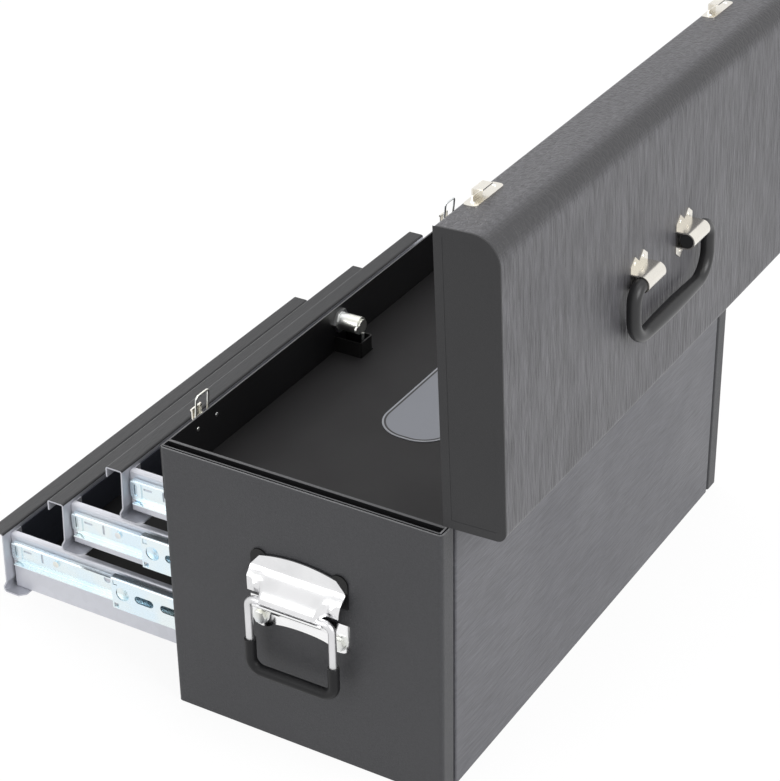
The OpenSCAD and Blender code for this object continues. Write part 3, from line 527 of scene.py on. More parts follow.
@dataclass(frozen=True)
class FrontSheet(Finish):
    """A drawer front: coated outside, bare zinc on its back and on its cut edges."""

    lip_height: float
    colour: Colour = (0.031, 0.031, 0.0335)
    bare: Colour = (0.54, 0.55, 0.60)
    front_band: tuple[float, float] = (-0.25, -0.15)
    top_band: tuple[float, float] = (0.15, 0.25)
    lip_band: tuple[float, float] = (2.5 * MM, 2.0 * MM)
    grain: float = 420.0
    variation: float = 0.1
    bare_dark_share: float = 0.93
    roughness: tuple[float, float] = (0.38, 0.5)
    bare_metallic: float = 0.35
    sheen: float = 0.36
    relief: float = 0.5
    depth: float = 0.3 * MM

    def build(self) -> bpy.types.Material:
        """Builds the material. The way a face looks tells its outer side from its back.

        Returns:
            The material.
        """
        made, g, shader, place = self.start()
        toward = g.add("TexCoord").outputs["Normal"]
        _, ny, nz = g.parts(toward)
        z = g.parts(place)[2]
        outer = g.ramp(ny, *self.front_band, 1.0, 0.0)
        low, high = self.lip_band
        above = g.ramp(z, self.lip_height - low, self.lip_height - high)
        top = g.sum("MULTIPLY", g.ramp(nz, *self.top_band), above)
        coated = g.sum("MAXIMUM", outer, top)
        grain = Effects.place(g, Effects.coating(), Vector=place, Stretch=Along.X.value, Scale=self.grain)
        marks = Effects.place(g, Effects.handling(), Vector=place)
        coat = g.vary(grain.outputs["Tone"], self.colour, self.variation)
        zinc = g.blend(marks.outputs["Smudge"], toned(self.bare, self.bare_dark_share), self.bare)
        g.put(shader.inputs["Base Color"], g.blend(coated, zinc, coat))
        g.put(shader.inputs["Roughness"], g.ramp(coated, 0.0, 1.0, *self.roughness))
        g.put(shader.inputs["Metallic"], g.ramp(coated, 0.0, 1.0, self.bare_metallic, 0.0))
        shader.inputs["Specular IOR Level"].default_value = self.sheen
        bump(g, shader, grain.outputs["Height"], self.relief, self.depth)
        return made


@dataclass(frozen=True)
class Plated(Finish):
    """Plated or polished metal, with faint brushing, a slow tint and fine scratches."""

    colour: Colour
    tint: Colour
    roughness: float
    metallic: float = 1.0
    along: Along = Along.NONE
    brushing: float = 0.15
    tint_scale: float = 30.0
    tint_band: tuple[float, float] = (0.4, 0.62)
    line_scale: float = 900.0
    line_depth: float = 0.05 * MM
    worn_share: float = 0.86
    scratch_share: float = 0.35
    line_rough: float = 0.08
    smudge_rough: float = 0.06
    smoother: float = 0.05

    def build(self) -> bpy.types.Material:
        """Builds the material.

        Returns:
            The material.
        """
        made, g, shader, place = self.start()
        marks = Effects.place(g, Effects.handling(), Vector=place)
        brushed = g.vector("MULTIPLY", place, self.along.value).outputs[0]
        lines = g.noise(brushed, self.line_scale, 2.0)
        slow = g.ramp(g.noise(place, self.tint_scale, 2.0), *self.tint_band)
        colour = g.blend(slow, self.colour, self.tint)
        scratched = g.sum("MULTIPLY", marks.outputs["Scratch"], self.scratch_share)
        colour = g.blend(scratched, colour, toned(self.colour, self.worn_share))
        g.put(shader.inputs["Base Color"], colour)
        shader.inputs["Metallic"].default_value = self.metallic
        smudged = g.sum("MULTIPLY", marks.outputs["Smudge"], self.smudge_rough)
        rough = g.sum("ADD", g.sum("MULTIPLY", lines, self.line_rough), smudged)
        g.put(shader.inputs["Roughness"], g.sum("ADD", rough, self.roughness - self.smoother, clamp=True))
        bump(g, shader, lines, self.brushing, self.line_depth)
        return made


@dataclass(frozen=True)
class ZincSheet(Finish):
    """Galvanised sheet, with the pale patches of its crystals."""

    colour: Colour = (0.64, 0.65, 0.70)
    roughness: float = 0.42
    metallic: float = 0.4
    crystal_scale: float = 130.0
    crystal_variation: float = 0.025
    patch_rough: float = 0.08
    fine_scale: float = 500.0
    relief: float = 0.1
    depth: float = 0.1 * MM

    def build(self) -> bpy.types.Material:
        """Builds the material.

        Returns:
            The material.
        """
        made, g, shader, place = self.start()
        marks = Effects.place(g, Effects.handling(), Vector=place)
        crystals = g.tree.nodes.new("ShaderNodeTexVoronoi")
        g.put(crystals.inputs["Vector"], place)
        crystals.inputs["Scale"].default_value = self.crystal_scale
        patch = g.parts(crystals.outputs["Color"])[0]
        g.put(shader.inputs["Base Color"], g.vary(patch, self.colour, self.crystal_variation))
        shader.inputs["Metallic"].default_value = self.metallic
        smudged = g.sum("MULTIPLY", marks.outputs["Smudge"], self.patch_rough)
        rough = g.sum("ADD", g.sum("MULTIPLY", patch, self.patch_rough), smudged)
        g.put(shader.inputs["Roughness"], g.sum("ADD", rough, self.roughness - self.patch_rough))
        bump(g, shader, g.noise(place, self.fine_scale), self.relief, self.depth)
        return made


@dataclass(frozen=True)
class BoxSheet(ZincSheet):
    """A galvanised drawer box whose front wall is dark blue-grey on its inner face between two bare ends:
    partly a coating, partly painted shade inside the drawer.
    """

    wall_y: float = 0.0
    half_l: float = 250.0 * MM
    coat: Colour = (0.050, 0.055, 0.072)
    coat_grain: float = 420.0
    coat_variation: float = 0.15
    wall_fade: float = 0.2 * MM
    end_fade: float = 0.5 * MM

    def build(self) -> bpy.types.Material:
        """Builds the material.

        Returns:
            The material.
        """
        made = super().build()
        g, shader, bare = self.reopen(made)
        place = g.add("TexCoord").outputs["Object"]
        x, y, _ = g.parts(place)
        # Partly painted shade: the inner face of the front wall is darkened between the bare ends.
        near = g.ramp(y, self.wall_y, self.wall_y + self.wall_fade, 1.0, 0.0)
        between = g.ramp(g.sum("ABSOLUTE", x), self.half_l, self.half_l + self.end_fade, 1.0, 0.0)
        mask = g.sum("MULTIPLY", near, between)
        grain = Effects.place(
            g, Effects.coating(), Vector=place, Stretch=Along.X.value, Scale=self.coat_grain
        )
        coat = g.vary(grain.outputs["Tone"], self.coat, self.coat_variation)
        g.put(shader.inputs["Base Color"], g.blend(mask, bare, coat))
        g.put(shader.inputs["Metallic"], g.ramp(mask, 0.0, 1.0, self.metallic, 0.0))
        return made


@dataclass(frozen=True)
class Moulded(Finish):
    """Rubber, foam or plastic: a fine skin with a slow change of sheen."""

    colour: Colour
    roughness: float
    skin: float = 900.0
    relief: float = 0.25
    dust: float = 0.0
    dust_colour: Colour = (0.12, 0.11, 0.105)
    sheen: float = 0.5
    variation: float = 0.15
    scratch_share: float = 0.4
    smudge_reach: float = 0.06
    depth: float = 0.1 * MM

    def build(self) -> bpy.types.Material:
        """Builds the material.

        Returns:
            The material.
        """
        made, g, shader, place = self.start()
        marks = Effects.place(g, Effects.handling(), Vector=place)
        fine = g.noise(place, self.skin)
        scratched = g.sum("MULTIPLY", marks.outputs["Scratch"], self.scratch_share)
        film = g.sum("MULTIPLY", g.sum("ADD", marks.outputs["Smudge"], scratched), self.dust)
        colour = g.blend(film, g.vary(fine, self.colour, self.variation), self.dust_colour)
        g.put(shader.inputs["Base Color"], colour)
        rough = g.spread(marks.outputs["Smudge"], self.roughness, self.smudge_reach)
        g.put(shader.inputs["Roughness"], rough)
        shader.inputs["Specular IOR Level"].default_value = self.sheen
        bump(g, shader, fine, self.relief, self.depth)
        return made


@dataclass(frozen=True)
class BadgeMetal(Finish):
    """A blank silvery plate whose edge has a dark line inside a pale one."""

    half_l: float
    half_w: float
    corner: float
    colour: Colour = (0.24, 0.25, 0.28)
    line: Colour = (0.012, 0.012, 0.014)
    rim: Colour = (0.34, 0.35, 0.38)
    line_band: tuple[float, float] = (1.6 * MM, 1.9 * MM)
    field_band: tuple[float, float] = (3.6 * MM, 3.9 * MM)
    field_dark_share: float = 0.92
    line_scale: float = 1200.0
    metallic: tuple[float, float] = (0.1, 0.35)
    roughness: tuple[float, float] = (0.34, 0.48)
    relief: float = 0.1
    depth: float = 0.03 * MM

    def build(self) -> bpy.types.Material:
        """Builds the material.

        Returns:
            The material.
        """
        made, g, shader, place = self.start()
        x, y, _ = g.parts(place)
        dx = g.sum("MAXIMUM", g.sum("SUBTRACT", g.sum("ABSOLUTE", x), self.half_l - self.corner), 0.0)
        dy = g.sum("MAXIMUM", g.sum("SUBTRACT", g.sum("ABSOLUTE", y), self.half_w - self.corner), 0.0)
        reach = g.sum("SQRT", g.sum("ADD", g.sum("MULTIPLY", dx, dx), g.sum("MULTIPLY", dy, dy)))
        inside = g.sum("SUBTRACT", self.corner, reach)
        stretched = g.vector("MULTIPLY", place, Along.X.value).outputs[0]
        brushed = g.noise(stretched, self.line_scale, 2.0)
        plate = g.blend(brushed, toned(self.colour, self.field_dark_share), self.colour)
        edge = g.blend(g.ramp(inside, *self.line_band), self.rim, self.line)
        g.put(shader.inputs["Base Color"], g.blend(g.ramp(inside, *self.field_band), edge, plate))
        g.put(shader.inputs["Metallic"], g.ramp(inside, *self.field_band, *self.metallic))
        g.put(shader.inputs["Roughness"], g.ramp(brushed, 0.0, 1.0, *self.roughness))
        bump(g, shader, brushed, self.relief, self.depth)
        return made


# The end panels and the back panel have one coating. Their two colours are a shaded and a lit copy of it:
# painted shade on the ends, painted light on the back.
BODY = CoatedSheet(
    "body coating",
    (0.037, 0.0375, 0.0415),
    roughness=0.46,
    grain=520.0,
    relief=0.8,
    variation=0.2,
    edge_height=TRAY_TOP,
    edge_and_highlight_colour=(0.13, 0.13, 0.137),
    depth=0.3 * MM,
    sheen=0.44,
)
# Painted light: the back panel's coating is made paler than the same coating on the end panels.
BACK = CoatedSheet(
    "back coating",
    (0.090, 0.0905, 0.102),
    roughness=0.44,
    along=Along.X,
    grain=300.0,
    relief=0.8,
    variation=0.24,
    edge_height=TRAY_TOP,
    edge_and_highlight_colour=(0.16, 0.16, 0.165),
    depth=0.3 * MM,
)
# The inner faces, rails and rims carry a much darker copy of the body coating: partly a dark coating, partly
# painted shade where they lie inside the tray and between the drawers.
INNER = CoatedSheet(
    "inner coating",
    (0.010, 0.010, 0.0112),
    roughness=0.4,
    along=Along.X,
    grain=700.0,
    relief=0.25,
    variation=0.08,
    edge_height=TRAY_TOP,
    edge_and_highlight_colour=(0.06, 0.06, 0.065),
)
# The lid's colour carries a painted dark reflection along its front bend.
LID = LidSheet(
    "lid coating",
    (0.076, 0.075, 0.082),
    roughness=0.42,
    along=Along.Z,
    grain=200.0,
    relief=1.0,
    variation=0.42,
    depth=0.7 * MM,
)
LID_END = CoatedSheet("lid end coating", (0.019, 0.019, 0.0205), grain=600.0, sheen=0.4)
RAIL = Plated(
    "zinc plated slide",
    (0.80, 0.87, 0.88),
    (0.74, 0.86, 0.93),
    roughness=0.24,
    along=Along.Y,
    brushing=0.12,
    tint_scale=26.0,
)
FASTENER = Plated("zinc plated fastener", (0.78, 0.80, 0.81), (0.80, 0.80, 0.74), roughness=0.3)
NICKEL = Plated("nickel plate", (0.80, 0.77, 0.71), (0.84, 0.81, 0.74), roughness=0.2, brushing=0.1)
SATIN = Plated(
    "satin chrome", (0.66, 0.66, 0.67), (0.72, 0.72, 0.73), roughness=0.34, along=Along.Z, brushing=0.1
)
PRESSED = Plated("pressed plate", (0.74, 0.74, 0.75), (0.80, 0.80, 0.81), roughness=0.2, brushing=0.06)
CHROME = Plated("chrome plate", (0.86, 0.86, 0.87), (0.90, 0.90, 0.90), roughness=0.1, brushing=0.04)
GRIP = Moulded("grip rubber", (0.009, 0.009, 0.010), 0.48, skin=1200.0, relief=0.2, sheen=0.24)
# The handle pads are near black: partly black rubber, partly painted shade behind and above the stop plates.
PAD = Moulded("pad rubber", (0.004, 0.004, 0.0042), 0.45, skin=1200.0, relief=0.2, sheen=0.3)
SLEEVE = Moulded("handle sleeve", (0.017, 0.017, 0.018), 0.34, skin=1400.0, relief=0.15, sheen=0.42)
MAT = Moulded(
    "tray mat",
    (0.0125, 0.0118, 0.0128),
    0.58,
    skin=700.0,
    relief=0.4,
    dust=0.06,
    dust_colour=(0.06, 0.055, 0.056),
    sheen=0.24,
)
LINER = Moulded("drawer liner", (0.0045, 0.0045, 0.005), 0.6, relief=0.4, sheen=0.14)
GUARD = Moulded("lock guard", (0.006, 0.006, 0.006), 0.35, skin=1200.0, relief=0.15)


# Small fasteners


def facing(direction: Vector) -> Matrix:
    """Turns +Z to a direction.

    Args:
        direction: where +Z is to point.

    Returns:
        The turn, as a 4 by 4 matrix.
    """
    return Vector((0.0, 0.0, 1.0)).rotation_difference(direction.normalized()).to_matrix().to_4x4()


def only(found: Iterable[object], kind: type) -> list:
    """Picks the vertices or the edges out of what an operator gives back."""
    return [item for item in found if isinstance(item, kind)]


def linked(name: str, data: bpy.types.ID) -> bpy.types.Object:
    """Makes an object and puts it in the scene.

    Args:
        name: the object's name.
        data: its mesh, lamp or camera.

    Returns:
        The object.
    """
    made = bpy.data.objects.new(name, data)
    bpy.context.collection.objects.link(made)
    return made


class Piece:
    """One new piece of the model, drawn in a bmesh at its own place."""

    dome_segments: ClassVar[int] = 18
    dome_rings: ClassVar[int] = 10
    head_segments: ClassVar[int] = 24
    arm_share: ClassVar[float] = 0.62
    arm_half_share: ClassVar[float] = 0.14
    crown_share: ClassVar[float] = 0.86
    shoulder_share: ClassVar[float] = 0.6
    recess_share: ClassVar[float] = 0.55
    cross_turn: ClassVar[float] = 0.4
    sharp_angle: ClassVar[float] = math.radians(35)

    def __init__(self, name: str, body: str, finish: Finish, slot: str) -> None:
        """Starts an empty piece.

        Args:
            name: the piece's name.
            body: the moving body that it rides on.
            finish: its finish.
            slot: the record's material slot; it is not used.
        """
        self.name, self.body, self.finish, self.slot = name, body, finish, slot
        self.bm = bmesh.new()

    def rivet(self, at: Sequence[float], out: Face | Vector, radius: float, height: float) -> None:
        """Adds a low domed head.

        Args:
            at: the middle of its seat.
            out: the way it stands out.
            radius: its radius, in metres.
            height: its height, in metres.
        """
        way = out if isinstance(out, Vector) else Vector(out.value)
        squash = Matrix.Diagonal((1.0, 1.0, height / radius, 1.0))
        place = Matrix.Translation(Vector(at)) @ facing(way) @ squash
        ball = bmesh.ops.create_uvsphere(
            self.bm, u_segments=self.dome_segments, v_segments=self.dome_rings, radius=radius
        )
        faces = {f for v in ball["verts"] for f in v.link_faces}
        edges = {e for v in ball["verts"] for e in v.link_edges}
        cut = bmesh.ops.bisect_plane(
            self.bm,
            geom=[*ball["verts"], *edges, *faces],
            plane_co=(0.0, 0.0, 0.0),
            plane_no=(0.0, 0.0, 1.0),
            clear_inner=True,
        )
        rim = only(cut["geom_cut"], bmesh.types.BMEdge)
        bmesh.ops.edgeloop_fill(self.bm, edges=rim)
        island = self.island(rim[0].verts[0])
        bmesh.ops.transform(self.bm, matrix=place, verts=island)

    def island(self, seed: bmesh.types.BMVert) -> list[bmesh.types.BMVert]:
        """Collects the vertices joined to one vertex.

        Args:
            seed: the vertex to start from.

        Returns:
            The vertices that edges lead to from there.
        """
        found, todo = {seed}, [seed]
        while todo:
            for e in todo.pop().link_edges:
                for v in e.verts:
                    if v not in found:
                        found.add(v)
                        todo.append(v)
        return list(found)

    def screw(self, at: Sequence[float], out: Face, radius: float, height: float) -> None:
        """Adds a pan head with a cross recess.

        Args:
            at: the middle of its seat.
            out: the way it stands out.
            radius: its radius, in metres.
            height: its height, in metres.
        """
        arm, half = radius * self.arm_share, radius * self.arm_half_share
        cross = [
            (half, half), (half, arm), (-half, arm), (-half, half), (-arm, half), (-arm, -half),
            (-half, -half), (-half, -arm), (half, -arm), (half, -half), (arm, -half), (arm, half),
        ]
        recess = [self.bm.verts.new((x, y, height)) for x, y in cross]
        loops = [self.bm.edges.new((recess[i - 1], recess[i])) for i in range(len(recess))]
        circle = bmesh.ops.create_circle(
            self.bm, segments=self.head_segments, radius=radius * self.crown_share, cap_ends=False
        )
        bmesh.ops.translate(self.bm, verts=circle["verts"], vec=(0.0, 0.0, height))
        ring = list({e for v in circle["verts"] for e in v.link_edges})
        bmesh.ops.bridge_loops(self.bm, edges=[*loops, *ring])
        side = bmesh.ops.extrude_edge_only(self.bm, edges=ring)["geom"]
        widen = 1.0 / self.crown_share
        bmesh.ops.scale(
            self.bm, verts=only(side, bmesh.types.BMVert), vec=(widen, widen, self.shoulder_share)
        )
        skirt = bmesh.ops.extrude_edge_only(self.bm, edges=only(side, bmesh.types.BMEdge))["geom"]
        bmesh.ops.scale(self.bm, verts=only(skirt, bmesh.types.BMVert), vec=(1.0, 1.0, 0.0))
        bmesh.ops.edgeloop_fill(self.bm, edges=only(skirt, bmesh.types.BMEdge))
        wall = bmesh.ops.extrude_edge_only(self.bm, edges=loops)["geom"]
        sink = (0.0, 0.0, -height * self.recess_share)
        bmesh.ops.translate(self.bm, verts=only(wall, bmesh.types.BMVert), vec=sink)
        bmesh.ops.edgeloop_fill(self.bm, edges=only(wall, bmesh.types.BMEdge))
        island = self.island(recess[0])
        bmesh.ops.recalc_face_normals(self.bm, faces=list({f for v in island for f in v.link_faces}))
        turned = facing(Vector(out.value)) @ Matrix.Rotation(self.cross_turn, 4, "Z")
        bmesh.ops.transform(self.bm, matrix=Matrix.Translation(Vector(at)) @ turned, verts=island)

    def finish_piece(self) -> bpy.types.Object:
        """Turns the bmesh into an object that rides on its body, shaded smooth between sharp edges.

        Returns:
            The object.
        """
        mesh = bpy.data.meshes.new(self.name)
        self.bm.to_mesh(mesh)
        self.bm.free()
        made = linked(self.name, mesh)
        mesh.materials.append(self.finish.material)
        mesh.polygons.foreach_set("use_smooth", [True] * len(mesh.polygons))
        mesh.set_sharp_from_angle(angle=self.sharp_angle)
        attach(made, self.body)
        log.info("%s rides on %s", self.name, self.body)
        return made


# Sub-assemblies of the chest


def dress(finish: Finish, nodes: Iterable[str]) -> None:
    """Gives nodes of the frame a finish.

    Args:
        finish: the finish.
        nodes: the names of the nodes.
    """
    for name in nodes:
        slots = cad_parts[name].data.materials
        slots.clear()
        slots.append(finish.material)


def both(name: str) -> list[str]:
    """Names of the right and left node of a pair."""
    return [name + "_right", name + "_left"]


def by_drawer(name: str) -> list[str]:
    """Names of one node in each of the three drawers."""
    return [f"{name}_{i}" for i in (1, 2, 3)]


@dataclass
class Body:
    """The chest's folded panels, its tray and the fixed hardware on them."""

    latch_x: float = 228.0 * MM
    rivet_gap: float = 14.75 * MM
    rivet_z: float = 270.7 * MM
    wall_y: float = -142.5 * MM
    latch_y: float = -145.2 * MM
    tail_rivet: tuple[float, float] = (2.2 * MM, 0.8 * MM)
    head_rivet: tuple[float, float] = (2.4 * MM, 1.0 * MM)
    hinge_l: float = 500.0 * MM
    hinge_rivets: int = 10
    leaf_y: float = 145.2 * MM
    leaf_rivet_up: float = 6.0 * MM
    leaf_rivet: tuple[float, float] = (2.4 * MM, 0.9 * MM)
    badge: BadgeMetal = BadgeMetal("badge plate", 120.0 * MM, 37.0 * MM, 33.0 * MM)

    def build(self) -> None:
        """Dresses the body's nodes and adds its rivets."""
        dress(BODY, both("end_panel"))
        dress(BACK, ["back_panel"])
        dress(INNER, ["end_rims", "base_pan", "top_rail", "base_rail", "tray_floor", *both("side_frame")])
        dress(MAT, ["tray_mat"])
        dress(self.badge, ["tray_badge"])
        dress(NICKEL, ["hinge_leaf_body", "latch_bases"])
        dress(FASTENER, ["hinge_pin", "lock_body", "lock_cam", "lock_rod", "handle_bolts"])
        dress(GUARD, ["lock_guard"])
        dress(RAIL, by_drawer("slide_outer"))
        self.latch_rivets()
        self.leaf_rivets()

    def latch_rivets(self) -> None:
        """Adds the rivets that hold each latch, with their tails inside the tray's front wall."""
        piece = Piece("latch_rivets", "chest", FASTENER, "zinc")
        for side in (-1, 1):
            for way in (-1, 1):
                x = side * self.latch_x + way * self.rivet_gap
                piece.rivet((x, self.wall_y, self.rivet_z), Face.BACK, *self.tail_rivet)
                piece.rivet((x, self.latch_y, self.rivet_z), Face.FRONT, *self.head_rivet)
        piece.finish_piece()

    def leaf_rivets(self) -> None:
        """Adds the row of rivets along the hinge leaf on the body's back."""
        piece = Piece("leaf_rivets_body", "chest", NICKEL, "nickel")
        low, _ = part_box("hinge_leaf_body")
        for i in range(self.hinge_rivets):
            x = self.hinge_l * ((i + 0.5) / self.hinge_rivets - 0.5)
            piece.rivet((x, self.leaf_y, low.z + self.leaf_rivet_up), Face.BACK, *self.leaf_rivet)
        piece.finish_piece()


@dataclass
class Lid:
    """The hinged lid with its keepers, its handle and the handle's brackets."""

    hinge: Point = (0.0, 145.3 * MM, 286.7 * MM)
    open_angle: float = 88.16
    rim: float = 283.3 * MM
    front: float = -133.2 * MM
    back: float = 142.5 * MM
    height: float = 59.0 * MM
    half_l: float = 293.35 * MM
    front_radius: float = 26.0 * MM
    back_radius: float = 9.0 * MM
    hem: float = 8.0 * MM
    hem_height: float = 0.2 * MM
    bend_segments: int = 12
    seat_out: float = 1.2 * MM
    keeper_x: float = 228.0 * MM
    keeper_gap: float = 18.0 * MM
    keeper_up: float = 9.0 * MM
    keeper_rivet: tuple[float, float] = (2.0 * MM, 0.9 * MM)
    ear_x: tuple[float, float] = (38.5 * MM, 55.5 * MM)
    bracket_y: float = 8.0 * MM
    ear_reach: float = 14.5 * MM
    ear_rivet: tuple[float, float] = (1.8 * MM, 0.8 * MM)

    def opened(self) -> Matrix:
        """The turn that takes the closed lid to its open pose."""
        there = Matrix.Translation(Vector(self.hinge))
        return there @ Matrix.Rotation(-math.radians(self.open_angle), 4, "X") @ there.inverted()

    def build(self) -> None:
        """Dresses the lid's nodes and adds its trim."""
        dress(LID, ["lid_shell"])
        dress(LID_END, both("lid_end"))
        dress(NICKEL, ["hinge_leaf_lid", "keepers", "lid_brackets", *both("latch_lever")])
        dress(FASTENER, both("latch_bail"))
        dress(SLEEVE, ["lid_handle"])
        self.keeper_rivets()
        self.bracket_rivets()
        for side in (1, -1):
            self.end_hem(side)

    def keeper_rivets(self) -> None:
        """Adds two rivets to each keeper plate on the lid's front."""
        piece = Piece("keeper_rivets", "lid", FASTENER, "zinc")
        turn = self.opened()
        out = turn.to_3x3() @ Vector(Face.FRONT.value)
        for side in (-1, 1):
            for way in (-1, 1):
                x = side * self.keeper_x + way * self.keeper_gap
                at = Vector((x, self.front - self.seat_out, self.rim + self.keeper_up))
                piece.rivet(turn @ at, out, *self.keeper_rivet)
        piece.finish_piece()

    def bracket_rivets(self) -> None:
        """Adds a rivet to each pointed ear of the handle's brackets."""
        piece = Piece("bracket_rivets", "lid", NICKEL, "nickel")
        turn = self.opened()
        out = turn.to_3x3() @ Vector(Face.TOP.value)
        top = self.rim + self.height + self.seat_out
        for side in (-1, 1):
            for x in self.ear_x:
                for y in (self.bracket_y - self.ear_reach, self.bracket_y + self.ear_reach):
                    piece.rivet(turn @ Vector((side * x, y, top)), out, *self.ear_rivet)
        piece.finish_piece()

    def end_hem(self, side: int) -> None:
        """Adds the band of coating that is folded over the edge of a lid end.

        Args:
            side: 1 for the right end, -1 for the left.
        """
        name = "lid_hem_right" if side > 0 else "lid_hem_left"
        piece = Piece(name, "lid", LID_END, "lid_dark")
        bm = piece.bm
        top = self.rim + self.height
        corners = [(self.back, self.rim), (self.back, top), (self.front, top), (self.front, self.rim)]
        verts = [bm.verts.new((side * self.half_l, y, z)) for y, z in corners]
        bm.faces.new(verts)
        for vert, radius in ((verts[1], self.back_radius), (verts[2], self.front_radius)):
            bmesh.ops.bevel(
                bm,
                geom=[vert],
                offset=radius,
                offset_type="OFFSET",
                segments=self.bend_segments,
                profile=0.5,
                affect="VERTICES",
                material=-1,
            )
        bmesh.ops.inset_region(
            bm, faces=list(bm.faces), thickness=self.hem, use_even_offset=True, use_boundary=True
        )
        inner = max(bm.faces, key=lambda f: f.calc_area())
        bmesh.ops.delete(bm, geom=[inner], context="FACES_ONLY")
        bmesh.ops.recalc_face_normals(bm, faces=list(bm.faces))
        raised = bmesh.ops.extrude_face_region(bm, geom=list(bm.faces))["geom"]
        rise = (side * self.hem_height, 0.0, 0.0)
        bmesh.ops.translate(bm, verts=only(raised, bmesh.types.BMVert), vec=rise)
        bmesh.ops.recalc_face_normals(bm, faces=list(bm.faces))
        bmesh.ops.transform(bm, matrix=self.opened(), verts=list(bm.verts))
        piece.finish_piece()


@dataclass
class Drawer:
    """One drawer: its front, its box, its liner and the moving members of its slides."""

    number: int
    lip_z: float
    out: float
    half_box: float = 265.0 * MM
    wall_y: float = -122.3 * MM
    slide_y: float = -119.5 * MM
    slide_drop: float = 21.5 * MM
    first_screw: float = 50.5 * MM
    rear_screws: tuple[float, float] = (170.0 * MM, 235.0 * MM)
    screw_radius: float = 3.4 * MM
    screw_out: float = 1.2 * MM
    screw_h: float = 1.5 * MM
    sunk_out: float = 2.5 * MM
    sunk_h: float = 0.6 * MM

    def build(self) -> None:
        """Dresses the drawer's nodes and adds the screws of its slides."""
        n = self.number
        dress(FrontSheet(f"drawer front {n}", self.lip_z), [f"drawer_front_{n}"])
        dress(BoxSheet(f"drawer box {n}", wall_y=self.wall_y - self.out), [f"drawer_box_{n}"])
        dress(LINER, [f"drawer_liner_{n}"])
        dress(RAIL, [f"slide_inner_{n}", f"slide_middle_{n}"])
        piece = Piece(f"slide_screws_{n}", f"drawer_{n}", FASTENER, "zinc")
        start = self.slide_y - self.out
        z = self.lip_z - self.slide_drop
        for face, side in ((Face.RIGHT, 1), (Face.LEFT, -1)):
            x = side * (self.half_box + self.screw_out)
            for along in self.rear_screws:
                piece.screw((x, start + along, z), face, self.screw_radius, self.screw_h)
            x = side * (self.half_box + self.sunk_out)
            piece.screw((x, start + self.first_screw, z), face, self.screw_radius, self.sunk_h)
        piece.finish_piece()


def ease(value: float, low: float, high: float) -> float:
    """Goes smoothly from 0 at low to 1 at high.

    Args:
        value: the place asked about.
        low: where the rise starts.
        high: where the rise ends, which may lie below low.

    Returns:
        A number from 0 to 1.
    """
    t = min(1.0, max(0.0, (value - low) / (high - low)))
    return t * t * (3.0 - 2.0 * t)


@dataclass
class EndHandles:
    """The folding handle on each end of the body.

    The stop plate over each handle is a pressed sheet: it lies on the pad, swells out over the pivot
    in the middle, and keeps two shallower tabs with a cup in each. Its lengths are in millimetres.
    """

    thickness: float = 1.5
    seat_x: float = 303.1
    roll_out: float = 20.4
    tab_out: float = 10.0
    half_w: float = 49.5
    flat_half: float = 40.0
    top_z: float = 203.5
    bow: float = 5.5
    corner_drop: float = 11.5
    band_low: float = 168.0
    tab_low: float = 170.9
    draw_in_share: float = 0.04
    band_half: tuple[float, float] = (29.0, 38.0)
    swell: tuple[float, float] = (195.0, 170.5)
    shelf: tuple[float, float] = (194.0, 183.0)
    shelf_share: float = 0.7
    cup: tuple[float, float, float, float] = (41.5, 178.5, 3.0, 2.4)
    columns: int = 72
    rows: int = 44

    def build(self) -> None:
        """Dresses the handles' nodes and stands a pressed plate over each handle."""
        dress(CHROME, [*both("handle_plate"), *both("stop_plate")])
        dress(SATIN, both("bail"))
        dress(GRIP, both("grip"))
        dress(PAD, ["handle_pads"])
        for side, name in ((1, "right"), (-1, "left")):
            self.pressed_plate(side, name)

    def out_at(self, y: float, z: float) -> float:
        """Tells how far out the plate's face stands.

        Args:
            y: the place across the plate.
            z: the height above the ground.

        Returns:
            The distance from the middle of the chest.
        """
        reach = abs(y)
        band = self.roll_out * ease(z, *self.swell)
        flare = ease(z, self.shelf[0], self.tab_low)
        tab = self.tab_out * (self.shelf_share * ease(z, *self.shelf) + (1.0 - self.shelf_share) * flare)
        middle, height, spread, depth = self.cup
        away = ((reach - middle) ** 2 + (z - height) ** 2) / (2.0 * spread**2)
        tab += depth * math.exp(-away)
        share = ease(reach, *self.band_half)
        return self.seat_x + band * (1.0 - share) + tab * share

    def edges_at(self, reach: float) -> tuple[float, float]:
        """Tells where the plate ends below and above.

        Args:
            reach: the distance from the middle of the plate.

        Returns:
            The height of its lower and of its upper edge.
        """
        low = self.band_low + (self.tab_low - self.band_low) * ease(reach, *self.band_half)
        if reach <= self.flat_half:
            return low, self.top_z + self.bow * (1.0 - (reach / self.flat_half) ** 2)
        return low, self.top_z - self.corner_drop * (reach - self.flat_half) / (self.half_w - self.flat_half)

    def pressed_plate(self, side: int, name: str) -> None:
        """Adds the pressed stop plate of one end, which stands for the plain one.

        Its face is laid first and looks outwards, and the sheet's thickness then goes inwards.

        Args:
            side: 1 for the right end, -1 for the left.
            name: the end's name.
        """
        piece = Piece(f"pressed_stop_plate_{name}", "chest", PRESSED, "chrome")
        bm = piece.bm
        grid: list[list[bmesh.types.BMVert]] = []
        for i in range(self.columns + 1):
            y = self.half_w * (2.0 * i / self.columns - 1.0)
            low, top = self.edges_at(abs(y))
            grid.append([])
            for j in range(self.rows + 1):
                z = low + (top - low) * j / self.rows
                narrow = 1.0 - self.draw_in_share * ease(z, self.top_z - self.corner_drop, self.tab_low)
                grid[-1].append(bm.verts.new((side * self.out_at(y, z) * MM, y * narrow * MM, z * MM)))
        for left, right in zip(grid, grid[1:]):
            for j in range(self.rows):
                ring = (left[j], right[j], right[j + 1], left[j + 1])
                bm.faces.new(ring if side > 0 else ring[::-1])
        bm.normal_update()
        bmesh.ops.solidify(bm, geom=list(bm.faces), thickness=self.thickness * MM)
        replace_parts(piece.finish_piece(), f"stop_plate_{name}")


